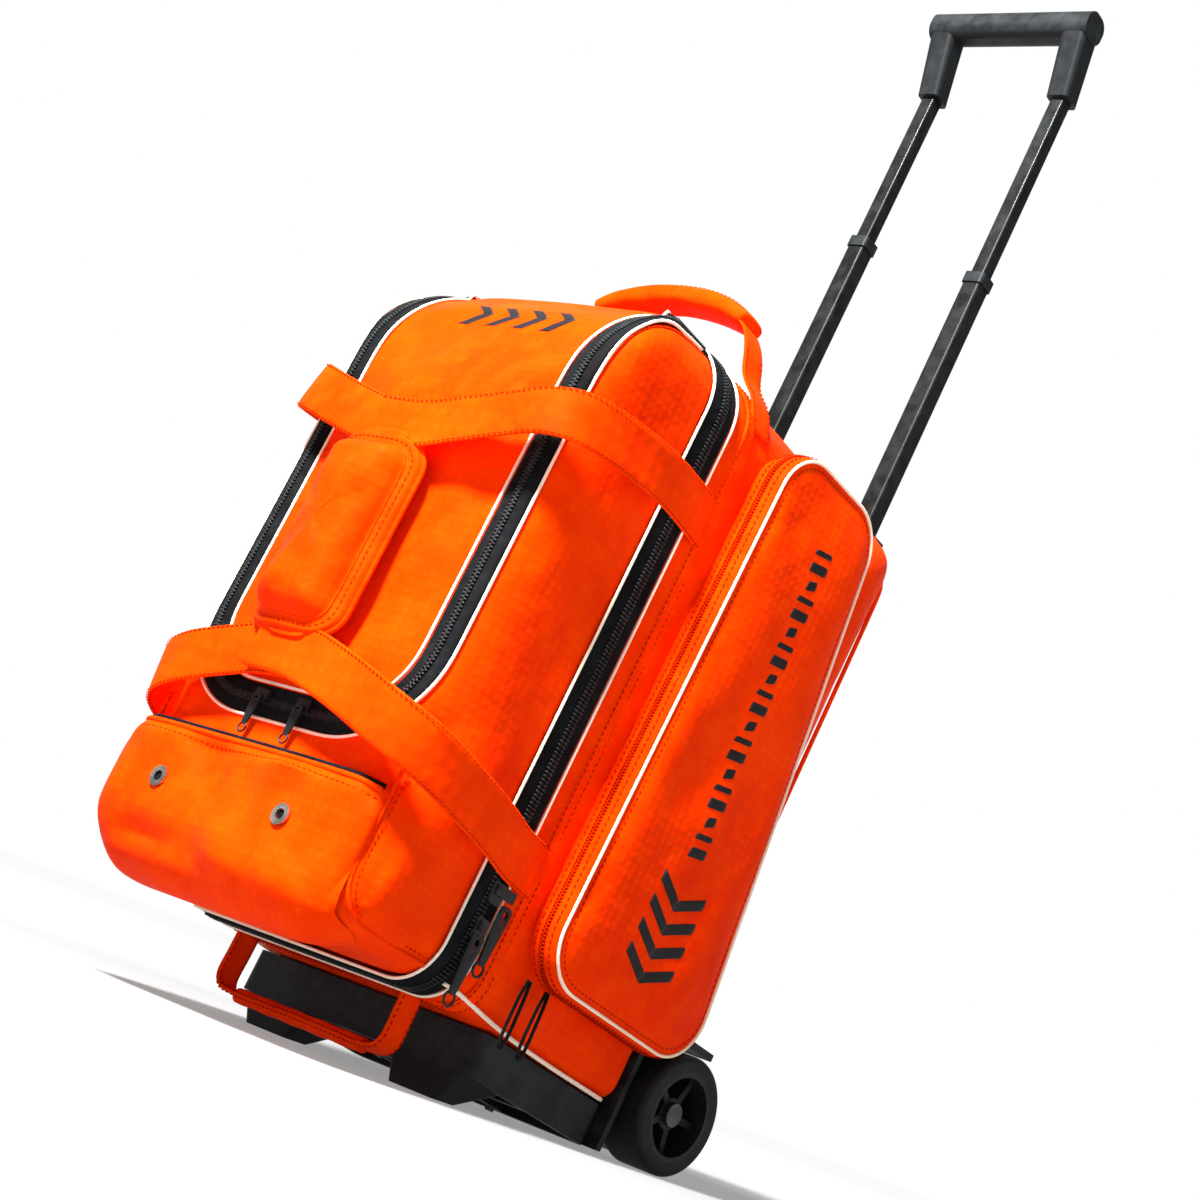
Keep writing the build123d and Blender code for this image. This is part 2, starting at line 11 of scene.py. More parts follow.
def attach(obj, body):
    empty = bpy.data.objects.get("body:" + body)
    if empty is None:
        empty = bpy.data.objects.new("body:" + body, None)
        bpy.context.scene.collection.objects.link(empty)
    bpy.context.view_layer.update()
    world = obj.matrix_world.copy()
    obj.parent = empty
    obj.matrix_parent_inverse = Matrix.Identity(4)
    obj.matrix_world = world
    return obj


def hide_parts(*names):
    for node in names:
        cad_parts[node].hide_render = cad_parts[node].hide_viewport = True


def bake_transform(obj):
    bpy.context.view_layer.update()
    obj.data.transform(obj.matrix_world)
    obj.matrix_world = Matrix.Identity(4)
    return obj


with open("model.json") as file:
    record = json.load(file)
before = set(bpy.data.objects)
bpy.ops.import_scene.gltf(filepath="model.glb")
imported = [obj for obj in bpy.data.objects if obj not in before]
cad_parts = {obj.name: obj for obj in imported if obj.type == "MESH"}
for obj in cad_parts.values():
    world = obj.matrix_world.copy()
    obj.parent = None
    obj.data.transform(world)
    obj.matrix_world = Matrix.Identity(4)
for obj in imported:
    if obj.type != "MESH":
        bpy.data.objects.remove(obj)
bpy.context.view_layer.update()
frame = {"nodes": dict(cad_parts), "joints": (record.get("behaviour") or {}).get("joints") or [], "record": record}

# ------------------------------------------------------------------ the bag's own axes
# Shapes are worked out in millimetres on the bag's axes: x to its right, y from front to
# back, z up along the trolley tubes. TO_WORLD leans them back into the row frame.
MM = 0.001
JOINTS = {joint["name"]: joint for joint in frame["joints"]}
UP = Vector(JOINTS["handle_slide"]["axis"]).normalized()
RIGHT = Vector((1, 0, 0))
BACK = UP.cross(RIGHT)
DOOR_HINGE = Vector((-123.5, -105.0, 280.0))
AXES = Matrix((RIGHT, BACK, UP)).transposed()
ORIGIN = Vector(JOINTS["case_door"]["pos_m"]) - AXES @ (DOOR_HINGE * MM)
AXES_NP = np.array(AXES)
ORIGIN_NP = np.array(ORIGIN)
LEAN = math.atan2(UP.y, UP.z)


def to_world(points):
    """Points in millimetres on the bag's axes, as metres in the row frame."""
    return np.asarray(points, float) @ AXES_NP.T * MM + ORIGIN_NP


def to_bag(points):
    """Points in metres in the row frame, as millimetres on the bag's axes."""
    return (np.asarray(points, float) - ORIGIN_NP) @ AXES_NP / MM


# ------------------------------------------------------------------ driving sizes (mm)
HALF_WIDTH = 123.0
BOTTOM, TOP = 50.0, 511.0
SEAM_Y = -105.0
TUB_FRONT, TUB_BACK = -104.5, 168.0
CASE_BACK, CASE_FRONT = -105.5, -213.0
LID_HALF, LID_LOW, LID_R = 100.0, 170.0, 58.0
CASE_TOP_R = 96.0
CASE_BOTTOM_R = 26.0
LID_BACK = -119.0
BAY_X, BAY_Y, BAY_Z = 61.6, 96.6, 119.4
POCKET_IN, POCKET_OUT = 123.4, 148.0
POCKET_SHAPE = ((-55, 92), (118, 92), (64, 484), (-47, 484))
POCKET_R = 34.0
BARREL_TOP_R, BARREL_LOW_R = 52.0, 32.0
TUB_LOW_R, TUB_PLAN_R, TUB_BACK_LOW_R, TUB_BACK_TOP_R = 14.0, 70.0, 30.0, 60.0
CASE_PLAN_R = 30.0
TUBE_X, TUBE_Y, TUBE_HOLE, TUBE_HOLE_LOW = 62.0, 153.0, 9.5, 440.0
TAPE_HALF, LID_TAPE_HALF, MAIN_TAPE_HALF = 12.0, 11.0, 6.4
PIPING_R, BINDING_R = 1.05, 1.5
COVER_VOXEL = 5.0
CUT_MARGIN, EDGE_MARGIN = 2.2, 1.5


# ------------------------------------------------------------------ fabric volumes
def rounded(u, v, low_u, high_u, low_v, high_v, radii):
    """Signed distance to a rectangle with radii for its corners: low-low, high-low, high-high, low-high."""
    mid_u, mid_v = (low_u + high_u) / 2, (low_v + high_v) / 2
    lower = np.where(u < mid_u, radii[0], radii[1])
    upper = np.where(u < mid_u, radii[3], radii[2])
    r = np.where(v < mid_v, lower, upper)
    qu = np.abs(u - mid_u) - (high_u - low_u) / 2 + r
    qv = np.abs(v - mid_v) - (high_v - low_v) / 2 + r
    outside = np.hypot(np.maximum(qu, 0), np.maximum(qv, 0))
    return np.minimum(np.maximum(qu, qv), 0) + outside - r


def soft_max(a, b, blend):
    """The larger of two distances, rounded where they cross, so that edges come out soft."""
    h = np.maximum(blend - np.abs(a - b), 0) / blend
    return np.maximum(a, b) + h * h * blend / 4


def barrel(p):
    """The outline that the tub and the shoe case share, as an endless prism along y."""
    radii = (BARREL_LOW_R, BARREL_LOW_R, BARREL_TOP_R, BARREL_TOP_R)
    return rounded(p[:, 0], p[:, 2], -HALF_WIDTH, HALF_WIDTH, BOTTOM, TOP, radii)


def wheel_bays(p):
    """How far points are outside the two wheel bays; it is negative in them."""
    return np.maximum(np.maximum(BAY_X - np.abs(p[:, 0]), BAY_Y - p[:, 1]), p[:, 2] - BAY_Z)


def tub(p):
    """The ball tub. Behind the seam its bottom corners are squarer, as they sit in the base."""
    low_r = BARREL_LOW_R - (BARREL_LOW_R - TUB_LOW_R) * smoothstep(p[:, 1], -92, -40)
    outline = rounded(p[:, 0], p[:, 2], -HALF_WIDTH, HALF_WIDTH, BOTTOM, TOP,
                      (low_r, low_r, BARREL_TOP_R, BARREL_TOP_R))
    plan = rounded(p[:, 0], p[:, 1], -HALF_WIDTH, HALF_WIDTH, TUB_FRONT, TUB_BACK,
                   (0, 0, TUB_PLAN_R, TUB_PLAN_R))
    side = rounded(p[:, 1], p[:, 2], TUB_FRONT, TUB_BACK, BOTTOM, TOP, (0, TUB_BACK_LOW_R, TUB_BACK_TOP_R, 0))
    return np.maximum(soft_max(soft_max(outline, plan, 5), side, 5), -wheel_bays(p))


def case(p):
    """The shoe case, with its large rounded top front edge."""
    plan = rounded(p[:, 0], p[:, 1], -HALF_WIDTH, HALF_WIDTH, CASE_FRONT, CASE_BACK,
                   (CASE_PLAN_R, CASE_PLAN_R, 0, 0))
    side = rounded(p[:, 1], p[:, 2], CASE_FRONT, CASE_BACK, BOTTOM, TOP, (CASE_BOTTOM_R, 0, 0, CASE_TOP_R))
    return soft_max(soft_max(barrel(p), plan, 6), side, 6)


def slope(shape, p):
    """Outward direction of a shape at points."""
    step = 0.6
    grad = np.stack([shape(p + d) - shape(p - d) for d in np.eye(3) * step], -1)
    return grad / np.maximum(np.linalg.norm(grad, axis=1, keepdims=True), 1e-9)


def drape(points, shape, height):
    """Points moved on to a shape, at a height above it."""
    p = np.array(points, float)
    for _ in range(8):
        p -= slope(shape, p) * (shape(p) - height)[:, None]
    return p


def smoothstep(x, low, high):
    """0 below low, 1 above high, and a smooth rise between."""
    t = np.clip((x - low) / (high - low), 0, 1)
    return t * t * (3 - 2 * t)


# ------------------------------------------------------------------ making pieces
@contextmanager
def editing(mesh):
    """A mesh opened as a bmesh, and written back at the end."""
    bm = bmesh.new()
    bm.from_mesh(mesh)
    yield bm
    bm.to_mesh(mesh)
    bm.free()


def new_object(name, data):
    """An object in the scene."""
    obj = bpy.data.objects.new(name, data)
    bpy.context.scene.collection.objects.link(obj)
    return obj


def make_object(name, verts, faces, material):
    """Mesh object from points on the bag's axes, with outward normals and smooth shading."""
    mesh = bpy.data.meshes.new(name)
    mesh.from_pydata([tuple(v) for v in to_world(verts)], [], faces)
    with editing(mesh) as bm:
        bmesh.ops.recalc_face_normals(bm, faces=bm.faces)
    mesh.polygons.foreach_set("use_smooth", [True] * len(mesh.polygons))
    mesh.materials.append(material)
    return new_object(name, mesh)


def place(obj, body, slot, *nodes):
    """Hang a finished piece on its body and hide the CAD nodes it stands for; slot is not used."""
    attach(obj, body)
    if nodes:
        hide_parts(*nodes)


def add(name, shape, material, body, slot="shell_fabric", *nodes):
    """Make a finished piece from its (points, faces), and place it."""
    place(make_object(name, *shape, material), body, slot, *nodes)


def read(items, what):
    """One vector for each point or face of a mesh, as rows."""
    values = np.empty(len(items) * 3)
    items.foreach_get(what, values)
    return values.reshape(-1, 3)


def coords(obj):
    """The points of a mesh, in the row frame."""
    return read(obj.data.vertices, "co")


def move_to(obj, points):
    """Put a mesh's points at new places."""
    obj.data.vertices.foreach_set("co", np.asarray(points, np.float32).ravel())
    obj.data.update()


def apply_modifiers(obj):
    """Keep what the modifiers make as the object's own mesh."""
    graph = bpy.context.evaluated_depsgraph_get()
    mesh = bpy.data.meshes.new_from_object(obj.evaluated_get(graph))
    obj.modifiers.clear()
    obj.data = mesh
    return obj


def subdivide(obj, levels=1):
    """Smooth a piece by subdivision."""
    modifier = obj.modifiers.new("soften", "SUBSURF")
    modifier.levels = modifier.render_levels = levels
    return obj


def neighbour_mean(obj, values, rounds):
    """Values on the points of a mesh, averaged with their neighbours a number of times."""
    edges = np.empty(len(obj.data.edges) * 2, int)
    obj.data.edges.foreach_get("vertices", edges)
    a, b = edges[0::2], edges[1::2]
    count = np.bincount(edges, minlength=len(values))[:, None] + 1.0
    for _ in range(rounds):
        total = values.copy()
        np.add.at(total, a, values[b])
        np.add.at(total, b, values[a])
        values = total / count
    return values


def rumples(points, wave, seed):
    """Smooth uneven values between about -1 and 1, with a typical distance of wave mm between crests."""
    chance = np.random.default_rng(seed)
    total = np.zeros(len(points))
    for _ in range(10):
        way = chance.normal(size=3)
        way *= 2 * math.pi / (wave * chance.uniform(0.7, 1.7) * np.linalg.norm(way))
        total += np.sin(points @ way + chance.uniform(0, 2 * math.pi))
    return total / 3.2


CLOTH = {"quality": 4, "mass": 0.25, "tension_stiffness": 12, "compression_stiffness": 12,
         "shear_stiffness": 6, "bending_stiffness": 0.35, "use_pressure": True}
CLOTH_FRAMES = 20


def swell(obj, pressure, growth):
    """Run the cloth simulation on a piece and keep its result as the mesh."""
    cloth = obj.modifiers.new("cloth", "CLOTH")
    for name, value in CLOTH.items():
        setattr(cloth.settings, name, value)
    cloth.settings.uniform_pressure_force = pressure
    cloth.settings.shrink_min = cloth.settings.shrink_max = -growth
    cloth.settings.effector_weights.gravity = 0
    cloth.collision_settings.use_collision = cloth.collision_settings.use_self_collision = False
    cloth.point_cache.frame_start, cloth.point_cache.frame_end = 1, CLOTH_FRAMES
    scene = bpy.context.scene
    for number in range(1, CLOTH_FRAMES + 1):
        scene.frame_set(number)
    apply_modifiers(obj)
    scene.frame_set(1)


def puff(obj, voxel, pressure, limit, growth=0.03, crease=0.2, wave=60.0, seed=7):
    """Remesh if there is a voxel size, swell as cloth, then crease; limit(points) caps each move, in mm."""
    if voxel:
        remesh = obj.modifiers.new("remesh", "REMESH")
        remesh.mode = "VOXEL"
        remesh.voxel_size = voxel * MM
        apply_modifiers(obj)
        move_to(obj, neighbour_mean(obj, coords(obj), 7))
    start = coords(obj)
    room = limit(to_bag(start))[:, None]
    normals = read(obj.data.vertices, "normal")
    swell(obj, pressure, growth)
    moved = (coords(obj) - start) / MM
    size = np.linalg.norm(moved, axis=1, keepdims=True)
    moved *= room * np.tanh(size / np.maximum(room, 1e-6)) / np.maximum(size, 1e-6)
    moved = neighbour_mean(obj, moved, 3)
    moved += normals * (rumples(to_bag(start), wave, seed) * crease)[:, None] * room
    move_to(obj, start + moved * MM)


def ball_grid(shape, centre, half, n):
    """Closed cube-like grid round a centre, each point moved out along its ray to the shape's surface."""
    line = np.tan(np.linspace(-1, 1, n + 1) * math.pi / 4)
    a, b = np.meshgrid(line, line, indexing="ij")
    one = np.ones_like(a)
    sides = ((one, a, b), (-one, a, b), (a, one, b), (a, -one, b), (a, b, one), (a, b, -one))
    rays = np.concatenate([np.stack([c.ravel() for c in side], -1) for side in sides]) * half
    near, far = np.zeros(len(rays)), np.full(len(rays), 2.0)
    for _ in range(36):
        middle = (near + far) / 2
        inside = shape(centre + rays * middle[:, None]) < 0
        near, far = np.where(inside, middle, near), np.where(inside, far, middle)
    verts = centre + rays * near[:, None]
    cell = np.arange(n)
    i, j = np.meshgrid(cell, cell, indexing="ij")
    corner = (i * (n + 1) + j).ravel()
    quad = np.stack([corner, corner + n + 1, corner + n + 2, corner + 1], -1)
    faces = np.concatenate([quad + side * (n + 1) ** 2 for side in range(6)])
    return verts, faces.tolist()


def weld(obj, distance=0.05):
    """Merge the points that lie on each other, in mm."""
    with editing(obj.data) as bm:
        bmesh.ops.remove_doubles(bm, verts=bm.verts, dist=distance * MM)
        bmesh.ops.recalc_face_normals(bm, faces=bm.faces)
    return obj


def keep_faces(obj, wanted):
    """Delete the faces whose centres, on the bag's axes, wanted() doesn't choose."""
    chosen = wanted(to_bag(read(obj.data.polygons, "center")))
    with editing(obj.data) as bm:
        bm.faces.ensure_lookup_table()
        lost = [bm.faces[i] for i in np.flatnonzero(~chosen)]
        bmesh.ops.delete(bm, geom=lost, context="FACES")
    obj.data.polygons.foreach_set("use_smooth", [True] * len(obj.data.polygons))


def even_edge(obj, y, reach=8.0):
    """Move the open edge that lies near one y on to it, so that a remeshed cover's cut is straight."""
    with editing(obj.data) as bm:
        for vert in bm.verts:
            place_now = to_bag(vert.co)
            if vert.is_boundary and abs(place_now[1] - y) < reach:
                vert.co = to_world((place_now[0], y, place_now[2]))


def line_inwards(obj, thickness, lining):
    """Give an open fabric shell its thickness, with the lining on the inside."""
    obj.data.materials.append(lining)
    solidify = obj.modifiers.new("thickness", "SOLIDIFY")
    solidify.thickness = thickness * MM
    solidify.offset = -1
    solidify.material_offset = 1
    solidify.material_offset_rim = 0


# ------------------------------------------------------------------ lines, ribbons, tubes, stitches
def resample(points, step, closed=False):
    """Evenly spaced points along a polyline."""
    p = np.array(points, float)
    if closed:
        p = np.vstack([p, p[:1]])
    length = np.concatenate([[0], np.cumsum(np.linalg.norm(np.diff(p, axis=0), axis=1))])
    count = max(int(round(length[-1] / step)), 2)
    at = np.linspace(0, length[-1], count + 1)
    out = np.stack([np.interp(at, length, p[:, k]) for k in range(p.shape[1])], -1)
    return out[:-1] if closed else out


def relax(points, rounds):
    """Smooth a polyline, keeping its ends."""
    p = np.array(points, float)
    for _ in range(rounds):
        p[1:-1] = (p[:-2] + 2 * p[1:-1] + p[2:]) / 4
    return p


def tangents(p, closed=False):
    """Unit directions along a polyline."""
    if closed:
        d = np.roll(p, -1, 0) - np.roll(p, 1, 0)
    else:
        d = np.gradient(p, axis=0)
    return d / np.linalg.norm(d, axis=1, keepdims=True)


def arc(centre, radius, start, end, step=6):
    """Points on an arc, with angles in degrees."""
    count = max(int(abs(end - start) / step), 2)
    angles = np.radians(np.linspace(start, end, count + 1))
    return [(centre[0] + radius * math.cos(t), centre[1] + radius * math.sin(t)) for t in angles]


def grid_faces(rows, columns, closed_rows=False, closed_columns=False):
    """Quads between the points of a grid, with each direction closed into a ring if asked."""
    faces = []
    for i in range(rows if closed_rows else rows - 1):
        for j in range(columns if closed_columns else columns - 1):
            k, m = (i + 1) % rows, (j + 1) % columns
            faces.append((i * columns + j, k * columns + j, k * columns + m, i * columns + m))
    return faces


def ends(rows, columns):
    """The two faces that close a tube made by grid_faces."""
    return [tuple(range(columns)), tuple((rows - 1) * columns + i for i in range(columns))]


def band(centres, across, normals, half, thickness, crown=0.0, columns=9):
    """A strap or tape: a thin closed band along a line, with rounded edges."""
    top = np.linspace(-1, 1, columns)
    rise = thickness / 2 * np.minimum(1, 2.2 * (1 - np.abs(top)) ** 0.5) + crown * (1 - top ** 2)
    fall = -thickness / 2 * np.minimum(1, 2.2 * (1 - np.abs(top)) ** 0.5) + crown * (1 - top ** 2)
    u = np.concatenate([top, top[::-1][1:-1]]) * half
    w = np.concatenate([rise, fall[::-1][1:-1]])
    verts = centres[:, None] + across[:, None] * u[None, :, None] + normals[:, None] * w[None, :, None]
    ring = len(u)
    faces = grid_faces(len(centres), ring, closed_columns=True) + ends(len(centres), ring)
    return verts.reshape(-1, 3), faces


def tube(centres, radius, sides=8, closed=False):
    """A round tube along a line. The radius may change along it."""
    t = tangents(centres, closed)
    guide = np.array([0.13, 0.31, 0.94])
    normal = [guide - t[0] * (guide @ t[0])]
    for k in range(1, len(t)):
        v = normal[-1] - t[k] * (normal[-1] @ t[k])
        normal.append(v)
    normal = np.array([v / np.linalg.norm(v) for v in normal])
    other = np.cross(t, normal)
    r = np.broadcast_to(np.asarray(radius, float), (len(centres),))[:, None, None]
    angle = np.linspace(0, 2 * math.pi, sides, endpoint=False)
    ring = normal[:, None] * np.cos(angle)[None, :, None] + other[:, None] * np.sin(angle)[None, :, None]
    verts = centres[:, None] + ring * r
    faces = grid_faces(len(centres), sides, closed_rows=closed, closed_columns=True)
    return verts.reshape(-1, 3), faces if closed else faces + ends(len(centres), sides)


def join(*parts):
    """Several (points, faces) pairs as one."""
    verts, faces, base = [], [], 0
    for v, f in parts:
        verts.append(np.asarray(v, float).reshape(-1, 3))
        faces += [tuple(i + base for i in face) for face in f]
        base += len(verts[-1])
    return np.concatenate(verts), faces


BEAD = np.array([(x, y, z) for x, s in ((-1, 0.45), (-0.6, 1), (0.6, 1), (1, 0.45))
                 for y, z in ((s, s), (-s, s), (-s, -s), (s, -s))], float)
BEAD_FACES = grid_faces(4, 4, closed_columns=True) + [(0, 1, 2, 3), (12, 13, 14, 15)]


def beads(centres, along, across, up, size):
    """Small rounded bars at points, as zip teeth or stitches. size is half of each side."""
    local = BEAD * np.array(size)
    verts = (centres[:, None] + along[:, None] * local[None, :, 0:1] + across[:, None] * local[None, :, 1:2]
             + up[:, None] * local[None, :, 2:3])
    faces = [tuple(i + 16 * k for i in face) for k in range(len(centres)) for face in BEAD_FACES]
    return verts.reshape(-1, 3), faces


def stitches(line, normals, pitch=4.4, length=2.7, thick=0.34, lift=0.1):
    """A row of stitches along a line that lies on a surface."""
    total = np.linalg.norm(np.diff(line, axis=0), axis=1).sum()
    joined = resample(np.hstack([line, normals]), total / max(round(total / pitch), 1))
    p, n = joined[:, :3], joined[:, 3:]
    n = n / np.linalg.norm(n, axis=1, keepdims=True)
    t = tangents(p)
    return beads(p + n * lift, t, np.cross(n, t), n, (length / 2, thick, thick))


def seam_frames(path, shape, height=0.0, step=4.0):
    """A path draped on a shape, with its normals and the direction across it."""
    p = relax(drape(resample(path, step), shape, height), 3)
    p = drape(p, shape, height)
    n = slope(shape, p)
    t = tangents(p)
    s = np.cross(n, t)
    return p, n, s / np.linalg.norm(s, axis=1, keepdims=True)


def tape_on(path, shape, half, low, high, columns=9):
    """A flat tape that follows a shape, as (points, faces)."""
    p, _, s = seam_frames(path, shape)
    across = np.linspace(-half, half, columns)
    rows = len(p)
    wide = (p[:, None] + s[:, None] * across[None, :, None]).reshape(-1, 3)
    edge = np.tile(np.minimum(1, 3 * (1 - np.abs(across / half)) + 0.35), rows)
    top = drape(wide, shape, low + (high - low) * edge)
    under = drape(wide, shape, low)
    upper, lower = np.arange(rows * columns).reshape(rows, columns), rows * columns
    faces = grid_faces(rows, columns)
    faces += [tuple(i + lower for i in face[::-1]) for face in faces]
    rims = [upper[:, 0], upper[:, -1], upper[0], upper[-1]]
    faces += [(a, b, b + lower, a + lower) for rim in rims for a, b in zip(rim[:-1], rim[1:])]
    return np.concatenate([top, under]), faces


def beside(path, shape, offset, height):
    """A line that runs beside a path on a shape, with its normals."""
    p, _, s = seam_frames(path, shape)
    q = drape(p + s * offset, shape, height)
    q = drape(relax(q, 2), shape, height)
    return q, slope(shape, q)


def zip_teeth(path, shape, height, pitch=2.6):
    """The closed coil along the middle of a zip, as small bars in two interleaved rows."""
    p, n, s = seam_frames(path, shape, height)
    joined = resample(np.hstack([p, n, s]), pitch)
    p, n, s = joined[:, :3], joined[:, 3:6], joined[:, 6:]
    t = tangents(p)
    left = beads(p - s * 1.0, s, t, n, (1.9, 0.72, 0.7))
    right = beads(p + s * 1.0 + t * pitch / 2, s, t, n, (1.9, 0.72, 0.7))
    return join(left, right)


# ------------------------------------------------------------------ materials
def new_material(name, color, roughness, **sockets):
    """Principled material; sockets gives more values, with _ for the spaces in their names."""
    material = bpy.data.materials.new(name)
    material.use_nodes = True
    shader = material.node_tree.nodes["Principled BSDF"]
    shader.inputs["Base Color"].default_value = (*color, 1)
    shader.inputs["Roughness"].default_value = roughness
    for socket, value in sockets.items():
        shader.inputs[socket.replace("_", " ")].default_value = value
    return material, material.node_tree, shader


def add_node(tree, kind, output, settings=(), **sockets):
    """One output of a new node, whose sockets take numbers or links; _ stands for a space in a name."""
    node = tree.nodes.new("ShaderNode" + kind)
    for name, value in settings:
        setattr(node, name, value)
    for name, value in sockets.items():
        socket = node.inputs[name.replace("_", " ")]
        if isinstance(value, bpy.types.NodeSocket):
            tree.links.new(value, socket)
        else:
            socket.default_value = value
    return node.outputs[output]


def bag_coordinates(tree):
    """Object coordinates turned on to the bag's axes, so that a weave runs along the cloth."""
    where = add_node(tree, "TexCoord", "Object")
    return add_node(tree, "Mapping", "Vector", Rotation=(LEAN, 0, 0), Vector=where)


def noise_of(tree, where, scale, detail=3.0, roughness=0.55):
    """Smooth noise at a scale given per metre."""
    return add_node(tree, "TexNoise", "Fac", Scale=scale, Detail=detail, Roughness=roughness, Vector=where)


def spread(tree, value, low, high, out_low=0.0, out_high=1.0):
    """A value from one range carried over to another, and held at its ends."""
    return add_node(tree, "MapRange", "Result", From_Min=low, From_Max=high, To_Min=out_low,
                    To_Max=out_high, Value=value)


def math_of(tree, a, b, operation="ADD"):
    """One sum, product or other operation on two values, each a socket or a number."""
    node = tree.nodes.new("ShaderNodeMath")
    node.operation = operation
    for socket, value in zip(node.inputs, (a, b)):
        if isinstance(value, (int, float)):
            socket.default_value = value
        else:
            tree.links.new(value, socket)
    return node.outputs[0]


def mix_of(tree, factor, a, b):
    """Two colours mixed, each a socket or three numbers."""
    node = tree.nodes.new("ShaderNodeMix")
    node.data_type = "RGBA"
    tree.links.new(factor, node.inputs[0])
    for socket, value in ((node.inputs[6], a), (node.inputs[7], b)):
        if isinstance(value, tuple):
            socket.default_value = (*value, 1)
        else:
            tree.links.new(value, socket)
    return node.outputs[2]


def bump_of(tree, height, strength, distance, below=None):
    """Bump from a height, on top of the normal given as below."""
    under = {} if below is None else {"Normal": below}
    return add_node(tree, "Bump", "Normal", Strength=strength, Distance=distance, Height=height, **under)


def weave_of(tree, where, threads):
    """Crossed threads, threads per metre: on each face, the two directions that lie in the cloth."""
    waves, facing = [], []
    normal = add_node(tree, "TexCoord", "Normal")
    turn = add_node(tree, "VectorRotate", "Vector", [("rotation_type", "X_AXIS")], Angle=LEAN, Vector=normal)
    split = tree.nodes.new("ShaderNodeSeparateXYZ")
    tree.links.new(turn, split.inputs["Vector"])
    for axis in "XYZ":
        settings = [("wave_type", "BANDS"), ("bands_direction", axis)]
        waves.append(add_node(tree, "TexWave", "Fac", settings, Scale=threads / 20 * math.pi / 3,
                              Distortion=0.5, Detail=1.0, Detail_Scale=2.0, Vector=where))
        facing.append(math_of(tree, split.outputs[axis], 2.0, "POWER"))
    pairs = [math_of(tree, math_of(tree, waves[k - 2], waves[k - 1], "MULTIPLY"), facing[k], "MULTIPLY")
             for k in range(3)]
    return math_of(tree, math_of(tree, pairs[0], pairs[1]), pairs[2])


def cloth_material(name, color, dark, light, roughness, threads, weave, rumple, sheen):
    """Woven cloth: threads, soft rumples, and a colour that varies with them."""
    material, tree, shader = new_material(name, color, roughness, Sheen_Weight=sheen, Sheen_Roughness=0.4,
                                          Specular_IOR_Level=0.02)
    shader.inputs["Sheen Tint"].default_value = (*light, 1)
    shader.inputs["Specular Tint"].default_value = (1, *(min(c * 5 + 0.05, 1) for c in light[1:]), 1)
    where = bag_coordinates(tree)
    broad, mottled = noise_of(tree, where, 9.0, 2.0), noise_of(tree, where, 60.0, 5.0)
    threads_height = weave_of(tree, where, threads)
    tone = mix_of(tree, spread(tree, broad, 0.3, 0.7), dark, color)
    tone = mix_of(tree, spread(tree, mottled, 0.42, 0.85, 0, 0.5), tone, light)
    tone = mix_of(tree, spread(tree, threads_height, 0.05, 0.8, 0.22, 0), tone, dark)
    tree.links.new(tone, shader.inputs["Base Color"])
    gloss = spread(tree, mottled, 0.3, 0.75, roughness - 0.07, roughness + 0.09)
    tree.links.new(gloss, shader.inputs["Roughness"])
    normal = bump_of(tree, noise_of(tree, where, 17.0, 3.0, 0.45), rumple, 0.008)
    normal = bump_of(tree, threads_height, weave, 0.00035, normal)
    tree.links.new(normal, shader.inputs["Normal"])
    return material


def moulded_material(name, color, roughness, grain, wear, coat=0.0, metallic=0.0):
    """Moulded or painted part: fine grain, and a slightly paler, smoother tone where it rubs."""
    material, tree, shader = new_material(name, color, roughness, Coat_Weight=coat, Metallic=metallic,
                                          Specular_IOR_Level=0.16)
    where = bag_coordinates(tree)
    pale = tuple(min(c * 2.2 + 0.004, 1) for c in color)
    edge = tree.nodes.new("ShaderNodeNewGeometry").outputs["Pointiness"]
    patches = spread(tree, noise_of(tree, where, 90.0, 6.0), 0.4, 0.7)
    worn = math_of(tree, spread(tree, edge, 0.5, 0.6), patches, "MULTIPLY")
    streaks = spread(tree, noise_of(tree, where, 28.0, 8.0, 0.7), 0.5, 0.8, 0, wear)
    tone = mix_of(tree, math_of(tree, worn, streaks, "MAXIMUM"), color, pale)
    tree.links.new(tone, shader.inputs["Base Color"])
    gloss = spread(tree, noise_of(tree, where, 45.0, 5.0), 0.25, 0.8, roughness - 0.1, roughness + 0.12)
    tree.links.new(gloss, shader.inputs["Roughness"])
    normal = bump_of(tree, noise_of(tree, where, 1400.0, 2.0), grain, 0.00025)
    tree.links.new(normal, shader.inputs["Normal"])
    return material


ORANGE, ORANGE_DARK, ORANGE_LIGHT = (0.94, 0.043, 0.0003), (0.74, 0.022, 0.0002), (1.0, 0.075, 0.0008)
CHARCOAL, SOOT, ASH = (0.0065, 0.008, 0.009), (0.0035, 0.0042, 0.0046), (0.02, 0.024, 0.026)
WEB, ZIP_CLOTH, FOAM_GREY = (0.97, 0.052, 0.0004), (0.0075, 0.0095, 0.0105), (0.02, 0.02, 0.022)
THREADS = (0.45, 0.014, 0.0), (0.3, 0.008, 0.0), (0.6, 0.03, 0.0)
IVORY = (0.86, 0.78, 0.68), (0.88, 0.6, 0.4), (0.92, 0.9, 0.86)
